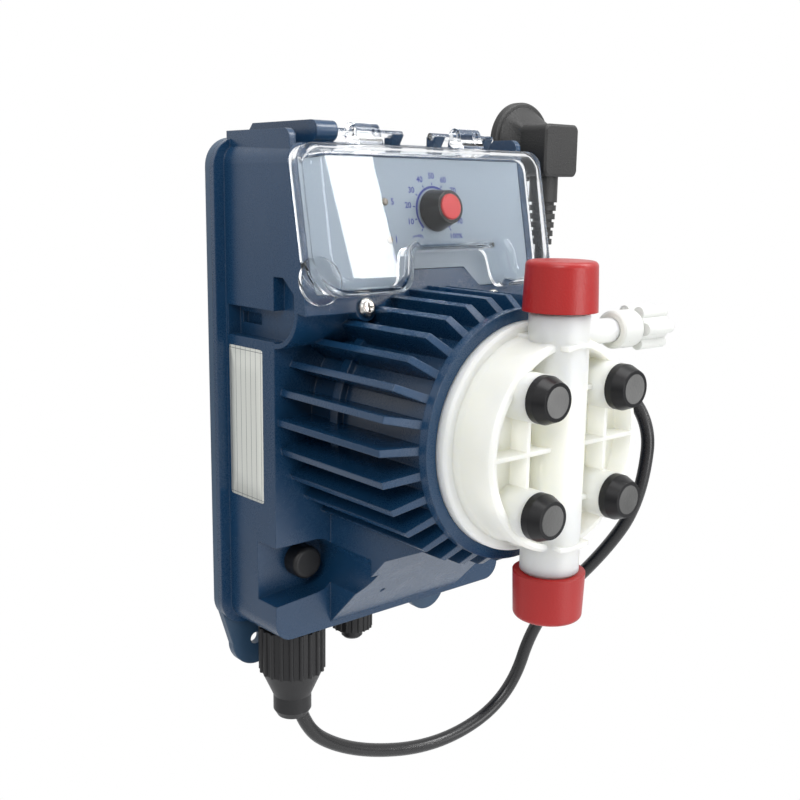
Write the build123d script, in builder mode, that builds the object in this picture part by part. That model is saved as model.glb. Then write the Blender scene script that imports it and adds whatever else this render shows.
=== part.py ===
from build123d import *
import math
import os

os.makedirs("parts", exist_ok=True)

# Solenoid-driven diaphragm metering pump that hangs on a wall.  Millimetres.
# X runs to the right as one faces the pump, +Z is up, and the wall is the plane Y = 0.
# A depth is measured from the wall towards the pump head, so depth d lies at Y = -d.
# Z = 0 is half way up the casing, and X = 0 is the axis of the pump head.

# ---- fits ----
slip = 0.05                # radial clearance of a running fit
loose = 0.3                # clearance between curved faces that do not guide

# ---- casing ----
plate_w = 142.0            # rear cover and casing flange, across
plate_h = 210.4
plate_corner = 12.0
cover_t = 4.0              # rear cover thickness
flange_front = 6.7         # depth of the casing flange's front face
lip_w = 4.8                # the flange stands out past the box, each side
lip_h = 1.7                # the same at the top and bottom
body_w = plate_w - 2 * lip_w
body_h = plate_h - 2 * lip_h
body_corner = 9.0
body_draft = 1.6           # moulding draft of the box, degrees
box_front = 40.6           # depth of the lower box's front face
wall = 3.0                 # moulded wall
console_top = 102.0        # height where the console's sloping front starts
console_depth = 49.1       # its depth there
console_tilt = 11.0        # slope of the console's front, degrees
console_len = 66.0         # length of the console's front, down the slope
chin_z = 38.0              # centre height of the round under the console
chin_r = 15.5

# ---- drive housing ----
head_z = -7.8              # height of the pump-head axis
core_r = 47.0              # barrel between the fins
fin_half_w = 63.5          # half axes of the fins' outline
fin_half_h = 53.8
fin_count = 32
fin_root_t = 3.4
fin_tip_t = 2.0
fin_slope = 105.0          # depth where the fins' edges start to slope in
ring_back = 110.5
ring_front = 114.6         # depth of the seat for the pump head
ring_r = 49.4
band_depth = 57.0          # raised band round the barrel
band_w = 5.0
band_r = 50.0
belly_half = 37.0          # half width of the sloping belly under the barrel
belly_foot_z = -100.0      # where its underside leaves the box
belly_depth = 77.0         # lowest front corner of its underside
belly_z = -62.2
belly_front = 98.0
belly_front_z = -52.5
drain_x = -20.0            # small hole in the belly's underside
drain_depth = 55.0
drain_r = 1.2
drain_deep = 4.0

# ---- casing screws, M4 ----
screw_r = 2.0
screw_head_r = 4.0
screw_len = 18.0
screw_inset_x = 12.5       # in from the edges of the rear cover
screw_inset_z = 9.7
screw_x = plate_w / 2 - screw_inset_x
screw_z = plate_h / 2 - screw_inset_z
screw_boss_r = 5.5
screw_boss_front = 26.0

# ---- wall lugs ----
lug_x = 52.0
lug_z = -116.0
lug_r = 12.0
lug_hole_r = 2.75
lug_root = 16.0

# ---- gasket between cover and casing ----
gasket_w = 3.0
gasket_t = 1.5
gasket_inset = 2.2

# ---- recesses in the casing ----
grip_x = 60.0              # floor of the hand grip in each side
grip_low = 25.0
grip_high = 37.5
grip_back = 8.0
grip_top = 51.0
grip_front = 47.0
grip_r = 13.5
latch_back = 10.0          # deeper slot at the back of the grip
latch_front = 24.0
latch_low = 30.0
latch_high = 34.5
latch_deep = 2.5
bay_x = -45.0              # bay of the blanking plug, bottom left
bay_z = -72.8
bay_r = 12.0
bay_back = 27.6
bay_floor = -86.5
blank_r = 7.2
blank_front = 35.6
blank_stem_r = 4.0

# ---- hinged cover ----
hinge_depth = 49.0
hinge_z = 107.0
hinge_pin_r = 1.5
hinge_eye_r = 4.0
eye_inner = 22.0
eye_outer = 34.0
pin_left = 45.5
pin_right = 44.0
pin_inner = 8.0
cradle_r = 4.0
cradle_reach = 3.2
rib_foot = 99.5
tall_rib = (43.0, 53.0)    # X extents of the ribs that carry the pins
low_rib = (37.5, 42.0)
inner_rib = (9.0, 14.0)
side_rib = (60.0, 63.0)
side_rib_top = 107.6
window_depth = 13.0        # how far the cover stands off the console
window_t = 2.0
window_round = 6.0
window_half = 64.6
window_top = -1.0          # along the console, upwards from its top edge
window_low = -59.6
window_corner = 15.0
notch_left = -14.5
notch_right = 32.5
notch_top = -43.0
lobe_left = -17.5
lobe_right = 35.5
tab_y = -53.0              # finger tab on the lower left corner
tab_r = 9.3

# ---- control panel ----
panel_half = 59.3
panel_top = -4.2
panel_low = -58.0
panel_notch_left = -19.0    # foot of the cut-out, which narrows upwards
panel_notch_right = 29.5
panel_notch = -50.0
panel_notch_in = 9.0
panel_t = 1.0
panel_gap = 0.2
dial_x = 6.5
dial_y = -26.0             # places on the console, upwards from its top edge
knob_r = 8.8
knob_top_r = 6.8
knob_h = 9.2
knob_lift = 0.6
knob_flutes = 18
knob_cap_r = 5.4
knob_cap_t = 1.6
knob_cap_out = 0.8
shaft_r = 3.0
shaft_end = 6.5
bush_r = 4.5
bush_top = 0.4
led_r = 1.5
led_places = ((-20.0, -22.3), (-19.5, -37.7))
board_gap = 11.0           # from the console's front to the circuit board
board_w = 100.0
board_low = -56.0
board_top = -10.0
board_t = 1.6
post_r = 3.0
post_x = 45.0
post_y = (-15.0, -50.0)
plate_screw_x = 35.4
plate_screw_y = -64.2
plate_boss_r = 5.4
plate_screw_head_r = 3.9
plate_screw_head_t = 2.4
plate_screw_len = 10.0
cross_w = 0.9

# ---- power board ----
power_w = 84.0
power_low = -52.0
power_high = 44.0
power_depth = 12.0
power_post_x = 38.0
power_post_z = (-46.0, 38.0)
terminal_z = -44.0
terminal_w = 30.0
terminal_h = 10.0
terminal_t = 11.0

# ---- drive ----
yoke_r = 36.0
yoke_wall = 5.0
yoke_back = 60.0
drive_wall = 100.0         # depth of the wall in front of the drive
plunger_r = 13.0
plunger_back = 54.0
plunger_front = 86.0
pole_face = 88.0
pole_back = 95.0
spring_r = 5.6
spring_wire = 0.6
spring_turns = 5
spring_seat = 76.0
spring_pocket_r = 7.0
pole_pocket = 3.0
rod_r = 3.0
rod_end = 116.6
backing_back = 108.0
backing_front = 112.6
boss_reach = 3.0           # diaphragm's boss, each side of the sheet
boss_out = 2.2
diaphragm_r = 25.0
diaphragm_boss_r = 8.0
backing_hole_r = 12.0
coil_r = 29.0
bobbin_wall = 1.7
flange_t = 2.0

# ---- pump head ----
head_r = 44.9
head_flange = 119.4
drum_r = 41.2
rim_r = 39.8
head_front = 138.4
rim_t = 2.2
pan_back = 130.0           # floor of the recess in the front of the head
port_stand = 17.0          # port axis, off the face of the casing's ring
port_depth = ring_front + port_stand
tube_r = 11.4
web_half = 9.4             # half width of the webs behind the port tube
saddle_half = 8.0          # arc of the rim that passes over the port tube
saddle_out = 0.8
port_end = 49.3            # ends of the port tubes, from the head axis
bolt_pitch = 21.4          # half the spacing of the head bolts
bolt_boss_r = 9.0
boss_front = 143.8
bolt_r = 2.5
bolt_head_r = 4.25
bolt_head_t = 5.0
bolt_seat = 135.0
bolt_tip = 102.5
bolt_cap_r = 8.8
bolt_cap_top_r = 7.0
bolt_cap_front = 151.3
bolt_disc_r = 5.6
bolt_disc_t = 1.2
rib_t = 1.6
chamber_r = 20.0
chamber_front = 118.6
gallery = 14.0             # drillings from the chamber, off the head axis
gallery_r = 2.5
bore_r = 8.0
bore_start = 22.0          # inner end of the valve bores, off the head axis
seat_t = 4.0
seat_hole_r = 2.8
ball_r = 4.0
ball_lift = 1.5
ball_gap = 0.05
suction_seat_low = 40.0    # lower face of the suction seat, below the head axis
thread_r = 10.48           # G 1/2 pipe thread
nipple_len = 15.0
nipple_bore_r = 5.5
seal_r = 10.2
seal_t = 1.2
cap_r = 14.0
cap_top_r = 13.3
cap_start = 50.1           # rim of the transit caps, from the head axis
cap_h = 18.5
cap_edge = 2.0

# ---- bleed valve ----
bleed_z = 33.0
bleed_neck_r = 4.8
bleed_neck_end = 30.0
bleed_nut_r = 7.4
bleed_nut_end = 42.0
bleed_bore_r = 4.6
bleed_stem_r = 3.0
bleed_seat = 33.0
bleed_knob_r = 9.4
bleed_knob_end = 58.0
bleed_core_r = 6.8
bleed_lobes = 6
bleed_lobe_r = 2.5
bleed_hollow = 8.0
bleed_hollow_r = 4.8
bleed_seal_x = 37.0
bleed_seal_t = 1.8
vent_r = 1.6

# ---- glands ----
gland_inset = 27.8         # in from the left edge of the rear cover
gland_x = gland_inset - plate_w / 2
gland_depth = 20.0
gland_body_r = 9.5
gland_thread_r = 7.0       # stretch that passes up through the casing
gland_collar_r = 13.0
gland_collar_t = 2.4
gland_nut_r = 14.0
gland_end_r = 6.8
gland_mouth_r = 5.8        # the bore flares towards its mouth for the cord's bend
gland_seal_r = 7.6
gland_seal_top = -122.0
gland_seal_low = -134.0
gland_lock_top = -96.4
gland_lock_r = 9.4
gland_ribs = 20
gland_rib_r = 1.0
gland_shoulder = -127.0
gland_neck_r = 8.6
gland_neck = -139.0
gland_end = -149.0
gland_lock_t = 3.0
signal_x = -9.2
signal_r = 9.0
signal_nut_end = -116.0
signal_stub_r = 5.0
signal_end = -121.0
signal_body_r = 6.0

# ---- mains plug and cord ----
plug_x = 91.5
plug_z = 108.0
plug_face = 20.0           # depth of the plug's face
plug_flange_r = 19.0
plug_flange_t = 4.0
plug_waist_r = 16.5
plug_back = 49.0
plug_block = 33.0          # depth where the body turns square
plug_block_w = 23.0
plug_block_h = 24.0
plug_block_drop = 4.0      # its middle lies this far below the pins
plug_edge = 3.0
plug_neck_r = 6.8
plug_neck_low = 80.0
plug_entry = 38.0          # depth of the cord's entry
pin_pitch = 19.0
plug_pin_r = 2.4
plug_pin_len = 19.0
relief_r = 6.4
relief_end_r = 4.6
relief_low = 60.0
relief_rings = 5
cord_r = 3.25
cord_start = -120.0
cord_route = (
    (gland_x, -gland_depth, cord_start),
    (gland_x, -gland_depth, -154.0),
    (-12.0, -22.0, -179.5),
    (42.0, -27.0, -193.0),
    (86.0, -33.0, -178.0),
    (97.0, -40.0, -131.0),
    (111.0, -68.0, -96.0),
    (121.0, -84.0, -64.0),
    (126.0, -85.0, -14.0),
    (plug_x, -plug_entry, 16.0),
    (plug_x, -plug_entry, relief_low),
)


def at_depth(d):
    """The plane parallel to the wall at depth d, drawn on as one faces the pump."""
    return Plane.XZ.offset(d)


tilt = math.radians(console_tilt)
# The console's front: local x to the right, local y up the slope, normal outwards.
console = Plane(
    origin=(0, -console_depth, console_top),
    x_dir=(1, 0, 0),
    z_dir=(0, -math.cos(tilt), math.sin(tilt)),
)
console_normal = Axis(console.origin, console.z_dir)
head_plane = Plane(origin=(0, 0, head_z), x_dir=(1, 0, 0), z_dir=(0, -1, 0))
port_plane = Plane(origin=(0, -port_depth, head_z), x_dir=(1, 0, 0), z_dir=(0, 0, 1))
bleed_plane = Plane(origin=(0, -port_depth, bleed_z), x_dir=(0, 1, 0), z_dir=(1, 0, 0))


def slope_point(y, h):
    """Side-view point (Y, Z) that lies y up the console's front and h off it."""
    return (
        -console_depth + y * math.sin(tilt) - h * math.cos(tilt),
        console_top + y * math.cos(tilt) + h * math.sin(tilt),
    )


def side_profile(inset, back):
    """Side view of box and console, drawn in by inset, open at the back."""
    top_y, top_z = slope_point(lug_r, -inset)
    low_y, low_z = slope_point(inset - console_len, -inset)
    with BuildSketch(Plane.YZ, mode=Mode.PRIVATE) as profile:
        with BuildLine():
            Polyline((-back, -body_h), (-back, top_z), (top_y, top_z), (low_y, low_z),
                     (-box_front - chin_r + inset, chin_z))
            CenterArc((-box_front, chin_z), chin_r - inset, 180, 90)
            Polyline((-box_front, chin_z - chin_r + inset), (-box_front + inset, chin_z - 2 * chin_r),
                     (-box_front + inset, -body_h), (-back, -body_h))
        make_face()
    return profile.sketch


def cradle(x):
    """Side view, at x, of a low rib with a hinge pin lying in its top."""
    with BuildSketch(Plane.YZ.offset(x), mode=Mode.PRIVATE) as profile:
        with BuildLine():
            Polyline((-hinge_depth + cradle_reach, rib_foot), (-hinge_depth + cradle_reach, hinge_z),
                     (-hinge_depth - cradle_reach, hinge_z), slope_point(0, 0), (-hinge_depth, rib_foot),
                     close=True)
        make_face()
    return profile.sketch


def casing_block(inset, back):
    """The casing's drafted box and console, drawn in by a wall thickness."""
    with BuildPart() as block:
        with BuildSketch(at_depth(back)):
            RectangleRounded(body_w - 2 * inset, body_h - 2 * inset, body_corner - inset / 2)
        extrude(amount=console_depth + console_len / 2 - back, taper=body_draft)
        extrude(side_profile(inset, back), amount=body_w, both=True, mode=Mode.INTERSECT)
    return block.part


# ================================================================ rear cover
with BuildPart() as rear_cover:
    with BuildSketch(at_depth(0)):
        RectangleRounded(plate_w, plate_h, plate_corner)
        for side in (-1, 1):
            with BuildLine():
                Polyline(
                    (side * plate_w / 2, -plate_h / 2 + plate_corner),
                    (side * (lug_x + lug_r), lug_z),
                    (side * (lug_x - lug_r), lug_z),
                    (side * (lug_x - lug_root), -plate_h / 2 + 1),
                    (side * (lug_x - lug_root), -plate_h / 2 + plate_corner),
                    close=True,
                )
            make_face()
        with Locations((-lug_x, lug_z), (lug_x, lug_z)):
            Circle(lug_r)
        with Locations((-lug_x, lug_z), (lug_x, lug_z)):
            Circle(lug_hole_r, mode=Mode.SUBTRACT)
    extrude(amount=cover_t)
    with BuildSketch(at_depth(cover_t - gasket_t)):
        RectangleRounded(plate_w - 2 * gasket_inset, plate_h - 2 * gasket_inset,
                         plate_corner - gasket_inset)
        offset(amount=-gasket_w, mode=Mode.SUBTRACT)
    extrude(amount=gasket_t, mode=Mode.SUBTRACT)
    with BuildSketch(at_depth(0)):
        with GridLocations(2 * screw_x, 2 * screw_z, 2, 2):
            Circle(screw_head_r + loose)
    extrude(amount=screw_head_r - screw_r, taper=45, mode=Mode.SUBTRACT)
    with BuildSketch(at_depth(0)):
        with GridLocations(2 * screw_x, 2 * screw_z, 2, 2):
            Circle(screw_r + loose)
    extrude(amount=cover_t, mode=Mode.SUBTRACT)
    with BuildSketch(at_depth(cover_t)):
        for post_z in power_post_z:
            with Locations((-power_post_x, post_z), (power_post_x, post_z)):
                Circle(post_r)
    extrude(amount=power_depth - cover_t)
rear_cover.part.label = "rear_cover"
export_step(rear_cover.part, "parts/rear_cover.step")

# ================================================================ gasket
with BuildPart() as rear_gasket:
    with BuildSketch(at_depth(cover_t - gasket_t)):
        RectangleRounded(plate_w - 2 * (gasket_inset + slip), plate_h - 2 * (gasket_inset + slip),
                         plate_corner - gasket_inset - slip)
        offset(amount=-gasket_w + 2 * slip, mode=Mode.SUBTRACT)
    extrude(amount=gasket_t)
rear_gasket.part.label = "rear_gasket"
export_step(rear_gasket.part, "parts/rear_gasket.step")

# ================================================================ casing screws
with BuildPart() as casing_screws:
    with BuildSketch(at_depth(loose)):
        with GridLocations(2 * screw_x, 2 * screw_z, 2, 2):
            Circle(screw_head_r)
    extrude(amount=screw_head_r - screw_r, taper=45)
    with BuildSketch(at_depth(loose)):
        with GridLocations(2 * screw_x, 2 * screw_z, 2, 2):
            Circle(screw_r)
    extrude(amount=screw_len)
    with BuildSketch(at_depth(loose)):
        with GridLocations(2 * screw_x, 2 * screw_z, 2, 2):
            Rectangle(2 * screw_r, cross_w)
            Rectangle(cross_w, 2 * screw_r)
    extrude(amount=screw_r / 2, mode=Mode.SUBTRACT)
casing_screws.part.label = "casing_screws"
export_step(casing_screws.part, "parts/casing_screws.step")

# ================================================================ casing
# The hollow inside: the box drawn in by a wall, less all that stays solid within it.
with BuildPart() as cavity:
    add(casing_block(wall, cover_t))
    with BuildSketch(at_depth(cover_t)):
        with GridLocations(2 * screw_x, 2 * screw_z, 2, 2):
            Circle(screw_boss_r)
    extrude(amount=screw_boss_front - cover_t, mode=Mode.SUBTRACT)
    with BuildSketch(at_depth(bay_back - wall)):
        with Locations((bay_x, bay_z)):
            Circle(bay_r + wall)
        with BuildLine():
            Polyline((-body_w / 2, bay_z + bay_r + wall), (bay_x, bay_z + bay_r + wall),
                     (bay_x, bay_z - bay_r - wall), (-body_w / 2, bay_floor - wall), close=True)
        make_face()
    extrude(amount=box_front, mode=Mode.SUBTRACT)
    with BuildSketch(Plane.YZ.offset(grip_x - wall)):
        with BuildLine():
            Polyline((-cover_t, grip_low - wall), (-body_h, grip_low - wall), (-body_h, grip_top + wall),
                     (-box_front + wall, grip_top + wall), (-box_front + wall, grip_high + wall),
                     (-cover_t, grip_high + wall), close=True)
        make_face()
    extrude(amount=wall * 4, mode=Mode.SUBTRACT)
    with BuildSketch(Plane.YZ.offset(wall - grip_x)):
        with BuildLine():
            Polyline((-cover_t, grip_low - wall), (-body_h, grip_low - wall), (-body_h, grip_top + wall),
                     (-box_front + wall, grip_top + wall), (-box_front + wall, grip_high + wall),
                     (-cover_t, grip_high + wall), close=True)
        make_face()
    extrude(amount=-wall * 4, mode=Mode.SUBTRACT)
    with BuildSketch(console):
        with Locations((-plate_screw_x, plate_screw_y), (plate_screw_x, plate_screw_y)):
            Circle(plate_boss_r)
        for y in post_y:
            with Locations((-post_x, y), (post_x, y)):
                Circle(post_r)
    extrude(amount=-board_gap, mode=Mode.SUBTRACT)
    with BuildSketch(head_plane.offset(box_front - wall)):
        Circle(yoke_r + slip)
    extrude(amount=drive_wall - box_front + wall)

# Radial cooling fins: one sketch of tapered blades, cut to an oval outline that slopes
# in to the round seat of the pump head.
with BuildPart() as fins:
    with BuildSketch(head_plane.offset(box_front)):
        Circle(core_r)
        with PolarLocations(core_r + fin_half_w / 4 - 1, fin_count):
            Trapezoid(fin_root_t, fin_half_w / 2, *([math.degrees(math.atan2(
                fin_half_w / 2, (fin_root_t - fin_tip_t) / 2))] * 2), rotation=-90)
    extrude(amount=ring_back - box_front)
    with BuildPart(mode=Mode.PRIVATE) as outline:
        with BuildSketch(head_plane.offset(box_front)):
            Ellipse(fin_half_w, fin_half_h)
        extrude(amount=fin_slope - box_front)
        with BuildSketch(head_plane.offset(fin_slope)):
            Ellipse(fin_half_w, fin_half_h)
        with BuildSketch(head_plane.offset(ring_back)):
            Circle(ring_r)
        loft()
    add(outline.part, mode=Mode.INTERSECT)

with BuildPart() as casing:
    with BuildSketch(at_depth(cover_t)):
        RectangleRounded(plate_w, plate_h, plate_corner)
    extrude(amount=flange_front - cover_t)
    add(casing_block(0, cover_t))
    add(fins.part)
    with BuildSketch(head_plane.offset(band_depth)):
        Circle(band_r)
    extrude(amount=band_w)
    with BuildSketch(head_plane.offset(ring_back)):
        Circle(ring_r)
    extrude(amount=ring_front - ring_back)
    # sloping belly under the barrel
    with BuildSketch(Plane.YZ):
        with BuildLine():
            Polyline((-box_front, belly_foot_z), (-belly_depth, belly_z),
                     (-belly_front, belly_front_z), (-belly_front, head_z), (-box_front, head_z), close=True)
        make_face()
    extrude(amount=belly_half, both=True)
    # round bosses for the console's screws
    with BuildSketch(console):
        with Locations((-plate_screw_x, plate_screw_y), (plate_screw_x, plate_screw_y)):
            Circle(plate_boss_r)
    extrude(amount=-board_gap)
    # ribs that carry the hinge pins, and low side ribs
    with BuildSketch(Plane.YZ.offset(-tall_rib[1])):
        with BuildLine():
            Polyline((-cover_t, rib_foot), (-cover_t, hinge_z), (-cover_t - cradle_r, hinge_z + cradle_r),
                     (-hinge_depth, hinge_z + cradle_r), (-hinge_depth - cradle_r, hinge_z),
                     slope_point(0, 0), (-hinge_depth, rib_foot), close=True)
        make_face()
        with Locations((-hinge_depth, hinge_z)):
            Circle(cradle_r)
    extrude(amount=tall_rib[1] - tall_rib[0])
    extrude(cradle(low_rib[0]), amount=low_rib[1] - low_rib[0])
    for side in (-1, 1):
        extrude(cradle(side * (inner_rib[0] + inner_rib[1]) / 2), amount=(inner_rib[1] - inner_rib[0]) / 2,
                both=True)
        with BuildSketch(Plane.YZ.offset(side * (side_rib[0] + side_rib[1]) / 2)):
            with BuildLine():
                Polyline((-cover_t, side_rib_top), (-cover_t, rib_foot), (-hinge_depth, rib_foot),
                         (-hinge_depth, side_rib_top - cradle_r))
                CenterArc((-hinge_depth + cradle_r, side_rib_top - cradle_r), cradle_r, 180, -90)
                Line((-hinge_depth + cradle_r, side_rib_top), (-cover_t, side_rib_top))
            make_face()
        extrude(amount=(side_rib[1] - side_rib[0]) / 2, both=True)
    add(cavity.part, mode=Mode.SUBTRACT)
    # room for the heads of the console's screws
    with BuildSketch(console):
        with Locations((-plate_screw_x, plate_screw_y), (plate_screw_x, plate_screw_y)):
            Circle(plate_screw_head_r + loose)
    extrude(amount=2 * window_depth, mode=Mode.SUBTRACT)
    # posts for the circuit board
    with BuildSketch(console.offset(-board_gap)):
        for y in post_y:
            with Locations((-post_x, y), (post_x, y)):
                Circle(post_r)
    extrude(amount=board_gap - wall / 2)
    # bore of the hinge, open at the top over the low ribs
    with BuildSketch(Plane.YZ.offset(-tall_rib[0] - 3)):
        with Locations((-hinge_depth, hinge_z)):
            Circle(hinge_pin_r + slip)
    extrude(amount=tall_rib[1] + pin_right, mode=Mode.SUBTRACT)
    # recess of the control panel
    with BuildSketch(console):
        RectangleRounded(2 * (panel_half + panel_gap), 2 * (panel_half + panel_gap), cradle_r)
        with Locations((0, panel_low - panel_gap)):
            Rectangle(3 * panel_half, 2 * panel_half, align=(Align.CENTER, Align.MAX), mode=Mode.SUBTRACT)
        with Locations((0, panel_top + panel_gap)):
            Rectangle(3 * panel_half, 2 * panel_half, align=(Align.CENTER, Align.MIN), mode=Mode.SUBTRACT)
        with BuildLine():
            Polyline((panel_notch_left + panel_gap, panel_low - 1),
                     (panel_notch_left + panel_notch_in + panel_gap, panel_notch),
                     (panel_notch_right - panel_notch_in - panel_gap, panel_notch),
                     (panel_notch_right - panel_gap, panel_low - 1), close=True)
        make_face(mode=Mode.SUBTRACT)
    extrude(amount=-panel_t - panel_gap, mode=Mode.SUBTRACT)
    # holes for the dial's bush, the lamps and the console screws
    with BuildSketch(console):
        with Locations((dial_x, dial_y)):
            Circle(bush_r + slip)
        with Locations(*led_places):
            Circle(led_r + slip)
    extrude(amount=-2 * wall, mode=Mode.SUBTRACT)
    with BuildSketch(console):
        with Locations((-plate_screw_x, plate_screw_y), (plate_screw_x, plate_screw_y)):
            Circle(screw_r + slip)
    extrude(amount=-plate_screw_len, mode=Mode.SUBTRACT)
    # hand grips in both sides, each with a slot at its back
    for side in (-1, 1):
        with BuildSketch(Plane.YZ.offset(side * grip_x)):
            with BuildLine():
                Polyline((-box_front, chin_z - grip_r), (-box_front, grip_low), (-grip_back, grip_low),
                         (-grip_back, grip_high), (-box_front, grip_high), (-box_front, grip_top),
                         (-grip_front, grip_top), (-box_front - grip_r, chin_z + grip_r / 2),
                         (-box_front - grip_r, chin_z))
                CenterArc((-box_front, chin_z), grip_r, 180, 90)
            make_face()
        extrude(amount=side * plate_w, mode=Mode.SUBTRACT)
        with BuildSketch(Plane.YZ.offset(side * (grip_x - latch_deep))):
            with BuildLine():
                Polyline((-latch_back, latch_low), (-latch_back, latch_high), (-latch_front, latch_high),
                         (-latch_front, latch_low), close=True)
            make_face()
        extrude(amount=side * latch_deep, mode=Mode.SUBTRACT)
    # bay of the blanking plug, open to the front and the side
    with BuildSketch(at_depth(bay_back)):
        with Locations((bay_x, bay_z)):
            Circle(bay_r)
        with BuildLine():
            Polyline((-plate_w, bay_z + bay_r), (bay_x, bay_z + bay_r), (bay_x, bay_z - bay_r),
                     (-body_w / 2, bay_floor), (-plate_w, bay_floor), close=True)
        make_face()
    extrude(amount=box_front, mode=Mode.SUBTRACT)
    with BuildSketch(at_depth(0)):
        with Locations((bay_x, bay_z)):
            Circle(blank_stem_r + slip)
    extrude(amount=bay_back, mode=Mode.SUBTRACT)
    # small blind hole in the belly
    with BuildSketch(Plane(origin=(drain_x, -drain_depth, belly_foot_z), x_dir=(1, 0, 0), z_dir=(0, 0, 1))):
        Circle(drain_r)
    extrude(amount=(belly_z - belly_foot_z) * (drain_depth - box_front) / (belly_depth - box_front)
            + drain_deep, mode=Mode.SUBTRACT)
    # holes for the screws, the glands, the push rod and the head bolts
    with BuildSketch(at_depth(0)):
        with GridLocations(2 * screw_x, 2 * screw_z, 2, 2):
            Circle(screw_r + slip)
    extrude(amount=screw_len + 2, mode=Mode.SUBTRACT)
    with BuildSketch(Plane.XY.offset(-body_h / 2 - wall)):
        with Locations((gland_x, -gland_depth)):
            Circle(gland_thread_r + slip)
        with Locations((signal_x, -gland_depth)):
            Circle(signal_body_r + slip)
    extrude(amount=3 * wall, mode=Mode.SUBTRACT)
    with BuildSketch(head_plane.offset(drive_wall)):
        Circle(rod_r + slip)
    extrude(amount=ring_front - drive_wall, mode=Mode.SUBTRACT)
    with BuildSketch(head_plane.offset(backing_back)):
        Circle(diaphragm_r + slip)
    extrude(amount=ring_front - drive_wall, mode=Mode.SUBTRACT)
    with BuildSketch(head_plane.offset(bolt_tip - 1)):
        with GridLocations(2 * bolt_pitch, 2 * bolt_pitch, 2, 2):
            Circle(bolt_r + slip)
    extrude(amount=ring_front - bolt_tip + 1, mode=Mode.SUBTRACT)
casing.part.label = "casing"
export_step(casing.part, "parts/casing.step")

# ================================================================ control panel and its parts
with BuildPart() as control_panel:
    with BuildSketch(console.offset(-panel_t - panel_gap)):
        RectangleRounded(2 * panel_half, 2 * panel_half, cradle_r)
        with Locations((0, panel_low)):
            Rectangle(3 * panel_half, 2 * panel_half, align=(Align.CENTER, Align.MAX), mode=Mode.SUBTRACT)
        with Locations((0, panel_top)):
            Rectangle(3 * panel_half, 2 * panel_half, align=(Align.CENTER, Align.MIN), mode=Mode.SUBTRACT)
        with BuildLine():
            Polyline((panel_notch_left, panel_low - 1),
                     (panel_notch_left + panel_notch_in, panel_notch + panel_gap),
                     (panel_notch_right - panel_notch_in, panel_notch + panel_gap),
                     (panel_notch_right, panel_low - 1), close=True)
        make_face(mode=Mode.SUBTRACT)
        with Locations((dial_x, dial_y)):
            Circle(bush_r + slip, mode=Mode.SUBTRACT)
        with Locations(*led_places):
            Circle(led_r + slip, mode=Mode.SUBTRACT)
    extrude(amount=panel_t)
control_panel.part.label = "control_panel"
export_step(control_panel.part, "parts/control_panel.step")

with BuildPart() as circuit_board:
    with BuildSketch(console.offset(-board_gap - board_t)):
        with Locations((0, board_top)):
            Rectangle(board_w, board_top - board_low, align=(Align.CENTER, Align.MAX))
    extrude(amount=board_t)
circuit_board.part.label = "circuit_board"
export_step(circuit_board.part, "parts/circuit_board.step")

with BuildPart() as potentiometer:
    with BuildSketch(console.offset(-board_gap)):
        with Locations((dial_x, dial_y)):
            Circle(2 * bush_r)
    extrude(amount=board_gap - wall - panel_t - panel_gap)
    with BuildSketch(console.offset(-board_gap)):
        with Locations((dial_x, dial_y)):
            Circle(bush_r)
    extrude(amount=board_gap + bush_top)
    with BuildSketch(console.offset(-board_gap + 2)):
        with Locations((dial_x, dial_y)):
            Circle(shaft_r + slip)
    extrude(amount=board_gap, mode=Mode.SUBTRACT)
potentiometer.part.label = "potentiometer"
export_step(potentiometer.part, "parts/potentiometer.step")

with BuildPart() as status_leds:
    with BuildSketch(console.offset(-board_gap)):
        with Locations(*led_places):
            Circle(led_r)
    extrude(amount=board_gap + led_r / 2)
    fillet(status_leds.faces().sort_by(console_normal)[-2:].edges(), led_r * 0.6)
status_leds.part.label = "status_leds"
export_step(status_leds.part, "parts/status_leds.step")

with BuildPart() as console_screws:
    with BuildSketch(console):
        with Locations((-plate_screw_x, plate_screw_y), (plate_screw_x, plate_screw_y)):
            Circle(plate_screw_head_r)
    extrude(amount=plate_screw_head_t)
    fillet(console_screws.faces().sort_by(console_normal)[-2:].edges(),
           plate_screw_head_t * 0.7)
    with BuildSketch(console):
        with Locations((-plate_screw_x, plate_screw_y), (plate_screw_x, plate_screw_y)):
            Circle(screw_r)
    extrude(amount=-plate_screw_len + 1)
    with BuildSketch(console.offset(plate_screw_head_t / 3)):
        with Locations((-plate_screw_x, plate_screw_y), (plate_screw_x, plate_screw_y)):
            Rectangle(2 * screw_r, cross_w)
            Rectangle(cross_w, 2 * screw_r)
    extrude(amount=plate_screw_head_t, mode=Mode.SUBTRACT)
console_screws.part.label = "console_screws"
export_step(console_screws.part, "parts/console_screws.step")

# ================================================================ dial
with BuildPart() as knob_shaft:
    with BuildSketch(console.offset(-board_gap + 2 + slip)):
        with Locations((dial_x, dial_y)):
            Circle(shaft_r)
    extrude(amount=board_gap - 2 + shaft_end - slip)
knob_shaft.part.label = "knob_shaft"
export_step(knob_shaft.part, "parts/knob_shaft.step")

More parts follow.
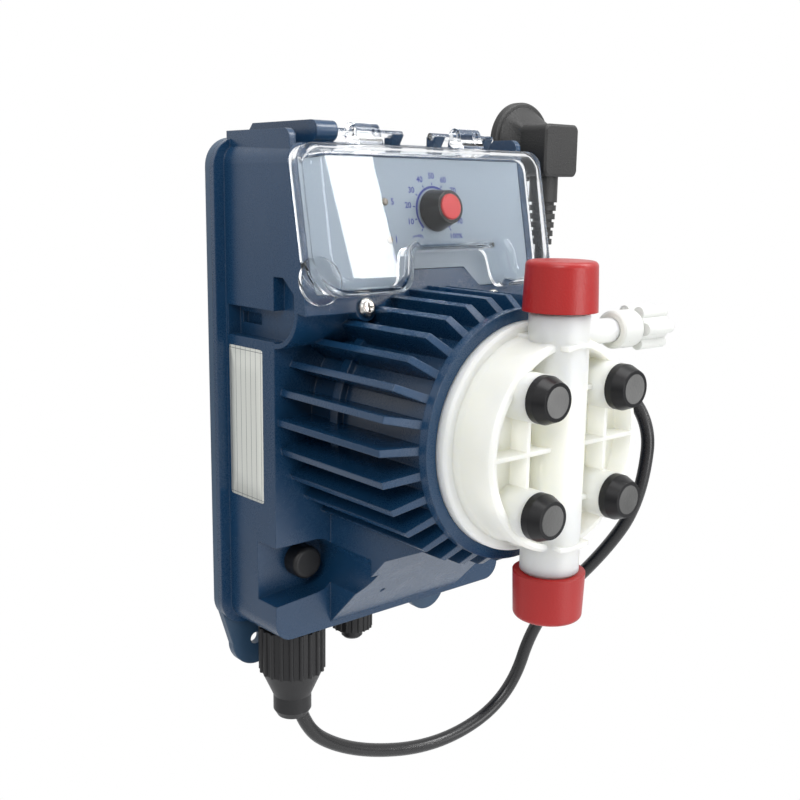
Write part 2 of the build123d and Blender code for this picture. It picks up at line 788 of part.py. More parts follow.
knob_angle = math.degrees(math.atan2(knob_r - knob_top_r, knob_h))
with BuildPart() as knob:
    with BuildSketch(console.offset(knob_lift)):
        with Locations((dial_x, dial_y)):
            Circle(knob_r)
    extrude(amount=knob_h, taper=knob_angle)
    with BuildSketch(console.offset(knob_lift + 2)):
        with Locations((dial_x, dial_y)):
            with PolarLocations(knob_r + 0.2, knob_flutes):
                Circle(0.7)
    extrude(amount=knob_h, mode=Mode.SUBTRACT)
    with BuildSketch(console.offset(knob_lift)):
        with Locations((dial_x, dial_y)):
            Circle(shaft_r)
    extrude(amount=shaft_end - knob_lift, mode=Mode.SUBTRACT)
    with BuildSketch(console.offset(knob_lift + knob_h - knob_cap_t)):
        with Locations((dial_x, dial_y)):
            Circle(knob_cap_r)
    extrude(amount=knob_cap_t, mode=Mode.SUBTRACT)
knob.part.label = "knob"
export_step(knob.part, "parts/knob.step")

with BuildPart() as knob_cap:
    with BuildSketch(console.offset(knob_lift + knob_h - knob_cap_t)):
        with Locations((dial_x, dial_y)):
            Circle(knob_cap_r - slip)
    extrude(amount=knob_cap_t + knob_cap_out)
    chamfer(knob_cap.faces().sort_by(console_normal)[-1].edges(), 0.4)
knob_cap.part.label = "knob_cap"
export_step(knob_cap.part, "parts/knob_cap.step")


# ================================================================ clear cover
def window_solid(inset):
    """The cover's pillow shape on the console, drawn in by a wall thickness."""
    with BuildPart() as pillow:
        with BuildSketch(console.offset(loose)):
            with BuildLine():
                FilletPolyline(
                    (window_half - inset, window_top - inset),
                    (window_half - inset, window_low + inset),
                    (lobe_right + inset, window_low + inset),
                    (notch_right + inset, notch_top + inset),
                    (notch_left - inset, notch_top + inset),
                    (lobe_left - inset, window_low + inset),
                    (-window_half + inset, window_low + inset),
                    (-window_half + inset, window_top - inset),
                    radius=[7, 12, 6, 5, 5, 6, window_corner, 7],
                    close=True,
                )
            make_face()
        extrude(amount=window_depth - inset - loose)
        fillet(pillow.faces().sort_by(console_normal)[-1].edges(),
               window_round - inset)
    return pillow.part


with BuildPart() as clear_cover:
    add(window_solid(0))
    add(window_solid(window_t), mode=Mode.SUBTRACT)
    # finger tab on the lower left corner
    with BuildSketch(console.offset(loose)):
        with Locations((-window_half + window_corner / 2, tab_y)):
            Circle(tab_r)
    extrude(amount=window_t)
    # arms up to the hinge
    for side in (-1, 1):
        with BuildSketch(Plane.YZ.offset(side * (eye_inner + eye_outer) / 2)):
            with BuildLine():
                Polyline(
                    slope_point(window_top - window_t, loose),
                    slope_point(window_top - window_t, window_depth - window_round),
                    (-hinge_depth - hinge_eye_r, hinge_z),
                    (-hinge_depth, hinge_z),
                    slope_point(window_top + 1, loose),
                    close=True,
                )
            make_face()
            with Locations((-hinge_depth, hinge_z)):
                Circle(hinge_eye_r)
        extrude(amount=(eye_outer - eye_inner) / 2, both=True)
    with BuildSketch(Plane.YZ.offset(-pin_left)):
        with Locations((-hinge_depth, hinge_z)):
            Circle(hinge_pin_r)
    extrude(amount=pin_left - pin_inner)
    with BuildSketch(Plane.YZ.offset(pin_inner)):
        with Locations((-hinge_depth, hinge_z)):
            Circle(hinge_pin_r)
    extrude(amount=pin_right - pin_inner)
clear_cover.part.label = "clear_cover"
export_step(clear_cover.part, "parts/clear_cover.step")

# ================================================================ power board
with BuildPart() as power_board:
    with BuildSketch(at_depth(power_depth)):
        with Locations((0, power_low)):
            Rectangle(power_w, power_high - power_low, align=(Align.CENTER, Align.MIN))
    extrude(amount=board_t)
power_board.part.label = "power_board"
export_step(power_board.part, "parts/power_board.step")

with BuildPart() as terminal_block:
    with BuildSketch(at_depth(power_depth + board_t)):
        with Locations((gland_x + terminal_w / 2, terminal_z)):
            Rectangle(terminal_w, terminal_h)
    extrude(amount=terminal_t)
    with BuildSketch(at_depth(power_depth + board_t + terminal_t / 2)):
        with Locations((gland_x + terminal_w / 2, terminal_z)):
            with GridLocations(terminal_w / 3, 1, 3, 1):
                Circle(screw_r)
    extrude(amount=terminal_t, mode=Mode.SUBTRACT)
terminal_block.part.label = "terminal_block"
export_step(terminal_block.part, "parts/terminal_block.step")

# ================================================================ solenoid drive
with BuildPart() as magnet_yoke:
    with BuildSketch(head_plane.offset(yoke_back)):
        Circle(yoke_r)
    extrude(amount=pole_back - yoke_back)
    with BuildSketch(head_plane.offset(yoke_back + yoke_wall)):
        Circle(yoke_r - yoke_wall)
    extrude(amount=pole_back - yoke_back, mode=Mode.SUBTRACT)
    with BuildSketch(head_plane.offset(yoke_back)):
        Circle(plunger_r + loose)
    extrude(amount=yoke_wall, mode=Mode.SUBTRACT)
magnet_yoke.part.label = "magnet_yoke"
export_step(magnet_yoke.part, "parts/magnet_yoke.step")

with BuildPart() as pole_piece:
    with BuildSketch(head_plane.offset(pole_back)):
        Circle(yoke_r)
    extrude(amount=drive_wall - pole_back)
    with BuildSketch(head_plane.offset(pole_face)):
        Circle(plunger_r)
    extrude(amount=pole_back - pole_face)
    with BuildSketch(head_plane.offset(pole_face)):
        Circle(rod_r + loose)
    extrude(amount=drive_wall - pole_face, mode=Mode.SUBTRACT)
    with BuildSketch(head_plane.offset(pole_face)):
        Circle(spring_pocket_r)
    extrude(amount=pole_pocket, mode=Mode.SUBTRACT)
pole_piece.part.label = "pole_piece"
export_step(pole_piece.part, "parts/pole_piece.step")

with BuildPart() as coil_bobbin:
    with BuildSketch(head_plane.offset(yoke_back + yoke_wall)):
        Circle(yoke_r - yoke_wall - slip)
    extrude(amount=pole_back - yoke_back - yoke_wall)
    with BuildSketch(head_plane.offset(yoke_back + yoke_wall + flange_t)):
        Circle(yoke_r)
        Circle(plunger_r + bobbin_wall, mode=Mode.SUBTRACT)
    extrude(amount=pole_back - yoke_back - yoke_wall - 2 * flange_t, mode=Mode.SUBTRACT)
    with BuildSketch(head_plane.offset(yoke_back)):
        Circle(plunger_r + slip)
    extrude(amount=drive_wall, mode=Mode.SUBTRACT)
coil_bobbin.part.label = "coil_bobbin"
export_step(coil_bobbin.part, "parts/coil_bobbin.step")

with BuildPart() as coil_winding:
    with BuildSketch(head_plane.offset(yoke_back + yoke_wall + flange_t)):
        Circle(coil_r)
        Circle(plunger_r + bobbin_wall + slip, mode=Mode.SUBTRACT)
    extrude(amount=pole_back - yoke_back - yoke_wall - 2 * flange_t)
coil_winding.part.label = "coil_winding"
export_step(coil_winding.part, "parts/coil_winding.step")

with BuildPart() as plunger:
    with BuildSketch(head_plane.offset(plunger_back)):
        Circle(plunger_r)
    extrude(amount=plunger_front - plunger_back)
    with BuildSketch(head_plane.offset(spring_seat)):
        Circle(spring_pocket_r)
    extrude(amount=plunger_front - spring_seat, mode=Mode.SUBTRACT)
    with BuildSketch(head_plane.offset(plunger_back)):
        Circle(rod_r)
    extrude(amount=plunger_front, mode=Mode.SUBTRACT)
plunger.part.label = "plunger"
export_step(plunger.part, "parts/plunger.step")

with BuildPart() as push_rod:
    with BuildSketch(head_plane.offset(plunger_back)):
        Circle(rod_r)
    extrude(amount=rod_end - plunger_back)
push_rod.part.label = "push_rod"
export_step(push_rod.part, "parts/push_rod.step")

spring_len = pole_face + pole_pocket - spring_seat - 2 * spring_wire - 2 * slip
with BuildPart() as return_spring:
    with BuildLine() as coil_line:
        Helix(pitch=spring_len / spring_turns, height=spring_len, radius=spring_r,
              center=(0, -spring_seat - spring_wire - slip, head_z), direction=(0, -1, 0))
    with BuildSketch(coil_line.line ^ 0):
        RegularPolygon(spring_wire, 6)
    sweep(is_frenet=True)
return_spring.part.label = "return_spring"
export_step(return_spring.part, "parts/return_spring.step")

with BuildPart() as diaphragm_backing:
    with BuildSketch(head_plane.offset(backing_back)):
        Circle(diaphragm_r)
    extrude(amount=backing_front - backing_back)
    with BuildSketch(head_plane.offset(backing_back)):
        Circle(backing_hole_r)
    extrude(amount=backing_front, mode=Mode.SUBTRACT)
diaphragm_backing.part.label = "diaphragm_backing"
export_step(diaphragm_backing.part, "parts/diaphragm_backing.step")

with BuildPart() as diaphragm:
    with BuildSketch(head_plane.offset(backing_front)):
        Circle(diaphragm_r)
    extrude(amount=ring_front - backing_front)
    with BuildSketch(head_plane.offset(backing_front - boss_reach)):
        Circle(diaphragm_boss_r)
    extrude(amount=boss_reach)
    with BuildSketch(head_plane.offset(ring_front)):
        Circle(diaphragm_boss_r)
    extrude(amount=boss_out, taper=20)
    with BuildSketch(head_plane.offset(backing_front - boss_reach)):
        Circle(rod_r)
    extrude(amount=rod_end - backing_front + boss_reach, mode=Mode.SUBTRACT)
diaphragm.part.label = "diaphragm"
export_step(diaphragm.part, "parts/diaphragm.step")

# ================================================================ pump head
with BuildPart() as pump_head:
    with BuildSketch(Plane(origin=(0, 0, head_z), x_dir=(1, 0, 0), z_dir=(0, 0, 1))):
        with BuildLine():
            Polyline(
                (0, -ring_front), (head_r, -ring_front), (head_r, -head_flange + 1),
                (head_r - 1, -head_flange), (drum_r, -head_flange), (drum_r - 0.6, -head_flange - 3),
                (rim_r + 0.8, -head_front + 1.2), (rim_r - 0.4, -head_front), (rim_r - rim_t, -head_front),
                (rim_r - rim_t - 0.4, -pan_back), (0, -pan_back), close=True,
            )
        make_face()
    revolve(axis=Axis((0, 0, head_z), (0, 1, 0)))
    # ribs in the recess: one level through the middle, and a lattice through the bolts
    with BuildSketch(head_plane.offset(pan_back)):
        Rectangle(2 * (rim_r - rim_t), rib_t)
        for y in (-bolt_pitch, bolt_pitch):
            with Locations((0, y)):
                Rectangle(2 * bolt_pitch, rib_t)
        for x in (-bolt_pitch, bolt_pitch):
            with Locations((x, 0)):
                Rectangle(rib_t, 2 * bolt_pitch)
    extrude(amount=head_front - pan_back)
    with BuildSketch(head_plane.offset(head_flange)):
        with GridLocations(2 * bolt_pitch, 2 * bolt_pitch, 2, 2):
            Circle(bolt_boss_r)
    extrude(amount=boss_front - head_flange)
    # upright port tube, with webs to the drum, and the neck of the bleed valve
    with BuildSketch(port_plane):
        Circle(tube_r)
    extrude(amount=port_end, both=True)
    with BuildSketch(head_plane.offset(head_flange)):
        Rectangle(2 * web_half, 2 * drum_r)
    extrude(amount=port_depth - head_flange)
    with BuildSketch(head_plane.offset(head_front - rim_t)):
        Circle(rim_r - rim_t / 4)
        Circle(rim_r - rim_t, mode=Mode.SUBTRACT)
        Rectangle(2 * saddle_half, 2 * drum_r, mode=Mode.INTERSECT)
    extrude(amount=port_depth + tube_r + saddle_out - head_front + rim_t)
    with BuildSketch(bleed_plane):
        Circle(bleed_neck_r)
    extrude(amount=bleed_neck_end)
    # pumping chamber, its drillings and the valve bores
    with BuildSketch(head_plane.offset(ring_front)):
        Circle(chamber_r)
    extrude(amount=chamber_front - ring_front, taper=30, mode=Mode.SUBTRACT)
    with BuildSketch(head_plane.offset(ring_front)):
        with GridLocations(1, 2 * gallery, 1, 2):
            Circle(gallery_r)
    extrude(amount=port_depth - ring_front, mode=Mode.SUBTRACT)
    for side in (-1, 1):
        with BuildSketch(port_plane.offset(side * (gallery - seat_hole_r))):
            Circle(seat_hole_r)
        extrude(amount=side * (bore_start - gallery + 2 * seat_hole_r), mode=Mode.SUBTRACT)
        with BuildSketch(port_plane.offset(side * bore_start)):
            Circle(bore_r)
        extrude(amount=side * port_end, mode=Mode.SUBTRACT)
        with BuildSketch(port_plane.offset(side * (port_end - seal_t))):
            Circle(seal_r + slip)
        extrude(amount=side * port_end, mode=Mode.SUBTRACT)
    with BuildSketch(bleed_plane):
        Circle(vent_r)
    extrude(amount=bleed_neck_end, mode=Mode.SUBTRACT)
    # holes for the head bolts, each with a pocket for the bolt's head
    with BuildSketch(head_plane.offset(ring_front)):
        with GridLocations(2 * bolt_pitch, 2 * bolt_pitch, 2, 2):
            Circle(bolt_r + slip)
    extrude(amount=head_front, mode=Mode.SUBTRACT)
    with BuildSketch(head_plane.offset(bolt_seat)):
        with GridLocations(2 * bolt_pitch, 2 * bolt_pitch, 2, 2):
            Circle(bolt_head_r + slip)
    extrude(amount=head_front, mode=Mode.SUBTRACT)
pump_head.part.label = "pump_head"
export_step(pump_head.part, "parts/pump_head.step")

with BuildPart() as head_bolts:
    with BuildSketch(head_plane.offset(bolt_tip)):
        with GridLocations(2 * bolt_pitch, 2 * bolt_pitch, 2, 2):
            Circle(bolt_r)
    extrude(amount=bolt_seat - bolt_tip)
    with BuildSketch(head_plane.offset(bolt_seat)):
        with GridLocations(2 * bolt_pitch, 2 * bolt_pitch, 2, 2):
            Circle(bolt_head_r)
    extrude(amount=bolt_head_t)
    with BuildSketch(head_plane.offset(bolt_seat + bolt_head_t / 2)):
        with GridLocations(2 * bolt_pitch, 2 * bolt_pitch, 2, 2):
            RegularPolygon(bolt_r * 0.92, 6)
    extrude(amount=bolt_head_t, mode=Mode.SUBTRACT)
head_bolts.part.label = "head_bolts"
export_step(head_bolts.part, "parts/head_bolts.step")

with BuildPart() as bolt_caps:
    with BuildSketch(head_plane.offset(boss_front)):
        with GridLocations(2 * bolt_pitch, 2 * bolt_pitch, 2, 2):
            Circle(bolt_cap_r)
    extrude(amount=3)
    with BuildSketch(head_plane.offset(boss_front + 3)):
        with GridLocations(2 * bolt_pitch, 2 * bolt_pitch, 2, 2):
            Circle(bolt_cap_r)
    extrude(amount=bolt_cap_front - boss_front - 3,
            taper=math.degrees(math.atan2(bolt_cap_r - bolt_cap_top_r, bolt_cap_front - boss_front - 3)))
    with BuildSketch(head_plane.offset(bolt_seat + bolt_head_t + slip)):
        with GridLocations(2 * bolt_pitch, 2 * bolt_pitch, 2, 2):
            Circle(bolt_head_r)
    extrude(amount=boss_front - bolt_seat - bolt_head_t - slip)
    with BuildSketch(head_plane.offset(bolt_cap_front - bolt_disc_t)):
        with GridLocations(2 * bolt_pitch, 2 * bolt_pitch, 2, 2):
            Circle(bolt_disc_r + slip)
    extrude(amount=bolt_disc_t, mode=Mode.SUBTRACT)
bolt_caps.part.label = "bolt_caps"
export_step(bolt_caps.part, "parts/bolt_caps.step")

with BuildPart() as bolt_cap_discs:
    with BuildSketch(head_plane.offset(bolt_cap_front - bolt_disc_t)):
        with GridLocations(2 * bolt_pitch, 2 * bolt_pitch, 2, 2):
            Circle(bolt_disc_r)
    extrude(amount=bolt_disc_t)
bolt_cap_discs.part.label = "bolt_cap_discs"
export_step(bolt_cap_discs.part, "parts/bolt_cap_discs.step")

# ================================================================ valves
# Each ball stands on the edge of its seat's hole, and its cage lets it lift.
ball_up = math.sqrt((ball_r + ball_gap) ** 2 - seat_hole_r ** 2)
cage_len = ball_up + ball_r + ball_lift + slip


def turned(profile_points):
    """A solid of revolution about the upright port axis, from (radius, height) points."""
    with BuildPart() as solid:
        with BuildSketch(Plane(origin=(0, -port_depth, head_z), x_dir=(1, 0, 0), z_dir=(0, -1, 0))):
            with BuildLine():
                Polyline(*profile_points, close=True)
            make_face()
        revolve(axis=Axis((0, -port_depth, head_z), (0, 0, 1)))
    return solid.part


fit_r = bore_r - slip
suction_cage_low = -suction_seat_low + seat_t

with BuildPart() as suction_seat:
    add(turned([(seat_hole_r, -suction_seat_low), (fit_r, -suction_seat_low), (fit_r, suction_cage_low),
                (seat_hole_r, suction_cage_low)]))
suction_seat.part.label = "suction_seat"
export_step(suction_seat.part, "parts/suction_seat.step")

with BuildPart() as discharge_seat:
    add(turned([(seat_hole_r, bore_start), (fit_r, bore_start), (fit_r, bore_start + seat_t),
                (seat_hole_r, bore_start + seat_t)]))
discharge_seat.part.label = "discharge_seat"
export_step(discharge_seat.part, "parts/discharge_seat.step")

with BuildPart() as suction_ball:
    with Locations((0, -port_depth, head_z + suction_cage_low + ball_up)):
        Sphere(ball_r)
suction_ball.part.label = "suction_ball"
export_step(suction_ball.part, "parts/suction_ball.step")

with BuildPart() as discharge_ball:
    with Locations((0, -port_depth, head_z + bore_start + seat_t + ball_up)):
        Sphere(ball_r)
discharge_ball.part.label = "discharge_ball"
export_step(discharge_ball.part, "parts/discharge_ball.step")

with BuildPart() as suction_cage:
    add(turned([(ball_r + loose, suction_cage_low), (fit_r, suction_cage_low), (fit_r, -bore_start),
                (seat_hole_r, -bore_start), (seat_hole_r, suction_cage_low + cage_len),
                (ball_r + loose, suction_cage_low + cage_len)]))
suction_cage.part.label = "suction_cage"
export_step(suction_cage.part, "parts/suction_cage.step")

with BuildPart() as suction_valve:
    add(turned([(seat_hole_r, -suction_seat_low), (fit_r, -suction_seat_low), (fit_r, -port_end),
                (thread_r, -port_end), (thread_r, 1 - port_end - nipple_len),
                (thread_r - 1, -port_end - nipple_len), (nipple_bore_r, -port_end - nipple_len),
                (nipple_bore_r, -port_end), (seat_hole_r, -port_end + 3)]))
suction_valve.part.label = "suction_valve"
export_step(suction_valve.part, "parts/suction_valve.step")

discharge_low = bore_start + seat_t
with BuildPart() as discharge_valve:
    add(turned([(ball_r + loose, discharge_low), (fit_r, discharge_low), (fit_r, port_end),
                (thread_r, port_end), (thread_r, port_end + nipple_len - 1),
                (thread_r - 1, port_end + nipple_len), (nipple_bore_r, port_end + nipple_len),
                (nipple_bore_r, port_end), (seat_hole_r, port_end - 3), (seat_hole_r, discharge_low + cage_len),
                (ball_r + loose, discharge_low + cage_len)]))
    with BuildSketch(bleed_plane.offset(seat_hole_r / 2)):
        Circle(vent_r)
    extrude(amount=bore_r, mode=Mode.SUBTRACT)
discharge_valve.part.label = "discharge_valve"
export_step(discharge_valve.part, "parts/discharge_valve.step")

with BuildPart() as port_seals:
    for side in (-1, 1):
        with BuildSketch(port_plane.offset(side * (port_end - seal_t))):
            Circle(seal_r)
            Circle(bore_r + slip, mode=Mode.SUBTRACT)
        extrude(amount=side * seal_t)
port_seals.part.label = "port_seals"
export_step(port_seals.part, "parts/port_seals.step")

for name, side in (("suction_cap", -1), ("discharge_cap", 1)):
    with BuildPart() as cap:
        with BuildSketch(port_plane.offset(side * cap_start)):
            Circle(cap_r)
        extrude(amount=side * cap_h, taper=math.degrees(math.atan2(cap_r - cap_top_r, cap_h)))
        fillet(cap.faces().sort_by(Axis.Z)[-1 if side > 0 else 0].edges(), cap_edge)
        with BuildSketch(port_plane.offset(side * cap_start)):
            Circle(thread_r + slip)
        extrude(amount=side * (port_end + nipple_len - cap_start), mode=Mode.SUBTRACT)
    cap.part.label = name
    export_step(cap.part, f"parts/{name}.step")

# ================================================================ bleed valve
with BuildPart() as bleed_body:
    with BuildSketch(bleed_plane.offset(bleed_neck_end)):
        Circle(bleed_nut_r)
    extrude(amount=bleed_nut_end - bleed_neck_end)
    chamfer(bleed_body.edges().filter_by(GeomType.CIRCLE), 0.8)
    with BuildSketch(bleed_plane.offset(bleed_neck_end)):
        Circle(vent_r)
    extrude(amount=bleed_nut_end, mode=Mode.SUBTRACT)
    with BuildSketch(bleed_plane.offset(bleed_seat)):
        Circle(bleed_bore_r + slip)
    extrude(amount=bleed_nut_end, mode=Mode.SUBTRACT)
bleed_body.part.label = "bleed_body"
export_step(bleed_body.part, "parts/bleed_body.step")

with BuildPart() as bleed_seal:
    with BuildSketch(bleed_plane.offset(bleed_seal_x)):
        Circle(bleed_bore_r)
        Circle(bleed_stem_r + slip, mode=Mode.SUBTRACT)
    extrude(amount=bleed_seal_t)
bleed_seal.part.label = "bleed_seal"
export_step(bleed_seal.part, "parts/bleed_seal.step")

with BuildPart() as bleed_knob:
    with BuildSketch(bleed_plane.offset(bleed_nut_end + loose)):
        Circle(bleed_core_r)
        with PolarLocations(bleed_knob_r - bleed_lobe_r, bleed_lobes):
            Circle(bleed_lobe_r)
    extrude(amount=bleed_knob_end - bleed_nut_end - loose)
    with BuildSketch(bleed_plane.offset(bleed_seat + 2)):
        Circle(bleed_stem_r)
    extrude(amount=bleed_nut_end + loose - bleed_seat - 2)
    with BuildSketch(bleed_plane.offset(bleed_seat + loose)):
        Circle(vent_r)
    extrude(amount=2)
    with BuildSketch(bleed_plane.offset(bleed_knob_end - bleed_hollow)):
        Circle(bleed_hollow_r)
    extrude(amount=bleed_hollow, mode=Mode.SUBTRACT)
bleed_knob.part.label = "bleed_knob"
export_step(bleed_knob.part, "parts/bleed_knob.step")

# ================================================================ cable glands and plug
casing_base = -body_h / 2 - slip


def on_gland(x, z):
    """The level plane at height z whose origin is on the axis of the gland at x."""
    return Plane(origin=(x, -gland_depth, z), x_dir=(1, 0, 0), z_dir=(0, 0, 1))


with BuildPart() as gland_body:
    with BuildSketch(on_gland(gland_x, casing_base - gland_collar_t)):
        Circle(gland_collar_r)
    extrude(amount=gland_collar_t)
    with BuildSketch(on_gland(gland_x, gland_lock_top)):
        Circle(gland_thread_r)
    extrude(amount=casing_base - gland_lock_top)
    with BuildSketch(on_gland(gland_x, gland_seal_top)):
        Circle(gland_body_r)
    extrude(amount=casing_base - gland_seal_top)
    with BuildSketch(on_gland(gland_x, gland_seal_top)):
        Circle(cord_r + 1)
    extrude(amount=gland_lock_top - gland_seal_top, mode=Mode.SUBTRACT)
gland_body.part.label = "gland_body"
export_step(gland_body.part, "parts/gland_body.step")

with BuildPart() as gland_locknut:
    with BuildSketch(on_gland(gland_x, gland_lock_top - gland_lock_t)):
        RegularPolygon(gland_lock_r, 6)
        Circle(gland_thread_r + slip, mode=Mode.SUBTRACT)
    extrude(amount=gland_lock_t)
gland_locknut.part.label = "gland_locknut"
export_step(gland_locknut.part, "parts/gland_locknut.step")

with BuildPart() as gland_seal:
    with BuildSketch(on_gland(gland_x, gland_seal_low)):
        Circle(gland_seal_r)
        Circle(cord_r, mode=Mode.SUBTRACT)
    extrude(amount=gland_seal_top - gland_seal_low)
gland_seal.part.label = "gland_seal"
export_step(gland_seal.part, "parts/gland_seal.step")

gland_nut_top = casing_base - gland_collar_t - loose
with BuildPart() as gland_nut:
    with BuildSketch(Plane(origin=(gland_x, -gland_depth, 0), x_dir=(1, 0, 0), z_dir=(0, -1, 0))):
        with BuildLine():
            Polyline(
                (gland_mouth_r, gland_end), (gland_end_r, gland_end), (gland_neck_r, gland_end + 3),
                (gland_neck_r, gland_neck), (gland_nut_r, gland_shoulder), (gland_nut_r, gland_nut_top),
                (gland_body_r + slip, gland_nut_top), (gland_body_r + slip, gland_seal_top),
                (gland_seal_r + slip, gland_seal_top), (gland_seal_r + slip, gland_seal_low),
                (cord_r + loose, gland_seal_low), (cord_r + loose, gland_seal_low - 1), close=True,
            )
        make_face()
    revolve(axis=Axis((gland_x, -gland_depth, 0), (0, 0, 1)))
    with BuildSketch(on_gland(gland_x, gland_shoulder)):
        with PolarLocations(gland_nut_r, gland_ribs):
            Circle(gland_rib_r)
    extrude(amount=gland_nut_top - gland_shoulder)
gland_nut.part.label = "gland_nut"
export_step(gland_nut.part, "parts/gland_nut.step")

with BuildPart() as signal_gland:
    with BuildSketch(on_gland(signal_x, signal_nut_end)):
        Circle(signal_r)
        with PolarLocations(signal_r, gland_ribs):
            Circle(gland_rib_r / 2)
    extrude(amount=casing_base - signal_nut_end)
    with BuildSketch(on_gland(signal_x, signal_nut_end)):
        Circle(signal_body_r)
    extrude(amount=gland_lock_top - signal_nut_end)
    with BuildSketch(on_gland(signal_x, signal_nut_end)):
        Circle(signal_stub_r)
    extrude(amount=gland_lock_top - signal_nut_end - wall, mode=Mode.SUBTRACT)
signal_gland.part.label = "signal_gland"
export_step(signal_gland.part, "parts/signal_gland.step")

with BuildPart() as signal_plug:
    with BuildSketch(on_gland(signal_x, signal_end)):
        Circle(signal_stub_r - slip)
    extrude(amount=gland_lock_top - signal_end - 2 * wall)
    chamfer(signal_plug.faces().sort_by(Axis.Z)[0].edges(), 1)
signal_plug.part.label = "signal_plug"
export_step(signal_plug.part, "parts/signal_plug.step")

with BuildPart() as blanking_plug:
    with BuildSketch(at_depth(bay_back)):
        with Locations((bay_x, bay_z)):
            Circle(blank_r)
    extrude(amount=blank_front - bay_back)
    fillet(blanking_plug.faces().sort_by(Axis.Y)[0].edges(), blank_r / 4)
    with BuildSketch(at_depth(bay_back - wall - 1)):
        with Locations((bay_x, bay_z)):
            Circle(blank_stem_r)
    extrude(amount=wall + 1)
blanking_plug.part.label = "blanking_plug"
export_step(blanking_plug.part, "parts/blanking_plug.step")

with BuildPart() as plug_body:
    with BuildSketch(at_depth(plug_face)):
        with Locations((plug_x, plug_z)):
            Circle(plug_flange_r)
    extrude(amount=plug_flange_t)
    fillet(plug_body.faces().sort_by(Axis.Y)[0].edges(), plug_flange_t / 3)
    with BuildSketch(at_depth(plug_face + plug_flange_t)):
        with Locations((plug_x, plug_z)):
            Circle(plug_waist_r)
    with BuildSketch(at_depth(plug_block)):
        with Locations((plug_x, plug_z - plug_block_drop)):
            RectangleRounded(plug_block_w, plug_block_h, plug_edge)
    loft()
    with BuildSketch(at_depth(plug_block)):
        with Locations((plug_x, plug_z - plug_block_drop)):
            RectangleRounded(plug_block_w, plug_block_h, plug_edge)
    extrude(amount=plug_back - plug_block)
    chamfer(plug_body.faces().sort_by(Axis.Y)[0].edges(), plug_edge / 3)
    with BuildSketch(Plane(origin=(plug_x, -plug_entry, plug_neck_low), x_dir=(1, 0, 0), z_dir=(0, 0, 1))):
        Circle(plug_neck_r)
    extrude(amount=plug_z - plug_neck_low)
plug_body.part.label = "plug_body"
export_step(plug_body.part, "parts/plug_body.step")

with BuildPart() as plug_pins:
    with BuildSketch(at_depth(plug_face - plug_pin_len)):
        with Locations((plug_x, plug_z)):
            with GridLocations(pin_pitch, 1, 2, 1):
                Circle(plug_pin_r)
    extrude(amount=plug_pin_len)
    fillet(plug_pins.faces().sort_by(Axis.Y)[-2:].edges(), plug_pin_r / 2)
plug_pins.part.label = "plug_pins"
export_step(plug_pins.part, "parts/plug_pins.step")

relief_pitch = (plug_neck_low - relief_low) / relief_rings
with BuildPart() as strain_relief:
    for ring in range(relief_rings):
        ring_low = relief_low + ring * relief_pitch
        ring_wide = relief_end_r + (relief_r - relief_end_r) * (ring + 1) / relief_rings
        with BuildSketch(Plane(origin=(plug_x, -plug_entry, ring_low), x_dir=(1, 0, 0), z_dir=(0, 0, 1))):
            Circle(ring_wide)
        extrude(amount=relief_pitch * 0.65)
        with BuildSketch(Plane(origin=(plug_x, -plug_entry, ring_low), x_dir=(1, 0, 0), z_dir=(0, 0, 1))):
            Circle(ring_wide - 1)
        extrude(amount=relief_pitch)
strain_relief.part.label = "strain_relief"
export_step(strain_relief.part, "parts/strain_relief.step")

# The cord: straight runs joined by tangent arcs, each as large as its two runs allow.
runs = [Vector(*b) - Vector(*a) for a, b in zip(cord_route, cord_route[1:])]
bend_radii = []
for first, second in zip(runs, runs[1:]):
    half_turn = math.radians(first.get_angle(second)) / 2
    bend_radii.append(0.45 * min(first.length, second.length) / math.tan(half_turn))
print("cord bend radii", [round(radius, 1) for radius in bend_radii])
with BuildPart() as power_cord:
    with BuildLine() as cord_path:
        FilletPolyline(*cord_route, radius=bend_radii)
    with BuildSketch(Plane.XY.offset(cord_start).shift_origin((gland_x, -gland_depth, cord_start))):
        Circle(cord_r)
    sweep()
power_cord.part.label = "power_cord"
export_step(power_cord.part, "parts/power_cord.step")
cord_length = sum(edge.length for edge in cord_path.edges())
print("cord length", round(cord_length, 1), "volume ratio",
      round(power_cord.part.volume / (math.pi * cord_r**2 * cord_length), 4))
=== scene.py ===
import math
import bpy
import bmesh
import numpy as np
from mathutils import Matrix, Vector


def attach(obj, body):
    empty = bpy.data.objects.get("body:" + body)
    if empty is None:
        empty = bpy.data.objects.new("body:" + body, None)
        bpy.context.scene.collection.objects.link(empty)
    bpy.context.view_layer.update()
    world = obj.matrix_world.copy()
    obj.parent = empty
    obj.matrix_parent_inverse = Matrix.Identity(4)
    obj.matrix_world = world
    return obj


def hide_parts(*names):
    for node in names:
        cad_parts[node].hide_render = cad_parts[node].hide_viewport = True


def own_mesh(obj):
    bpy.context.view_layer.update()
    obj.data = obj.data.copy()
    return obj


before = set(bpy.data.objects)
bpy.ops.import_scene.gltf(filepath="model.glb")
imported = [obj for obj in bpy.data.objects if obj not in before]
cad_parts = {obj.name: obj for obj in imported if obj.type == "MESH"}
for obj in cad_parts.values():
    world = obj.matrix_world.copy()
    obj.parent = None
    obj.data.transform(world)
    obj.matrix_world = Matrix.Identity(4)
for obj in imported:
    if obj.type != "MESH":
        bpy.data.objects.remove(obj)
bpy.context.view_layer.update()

# ============================================================ camera, lamps and backdrop
# The pump is seen from the front left and a little above, as it hangs.
# Soft lamps stand round it, and floor and backdrop are white.
camera_place = (-0.2975, -0.3908, 0.0859)
camera_turn = -40.43       # degrees round from the front
camera_fall = 11.29        # degrees below level
camera_roll = 0.83
camera_focus = 47.87       # mm, on a sensor 36 mm wide

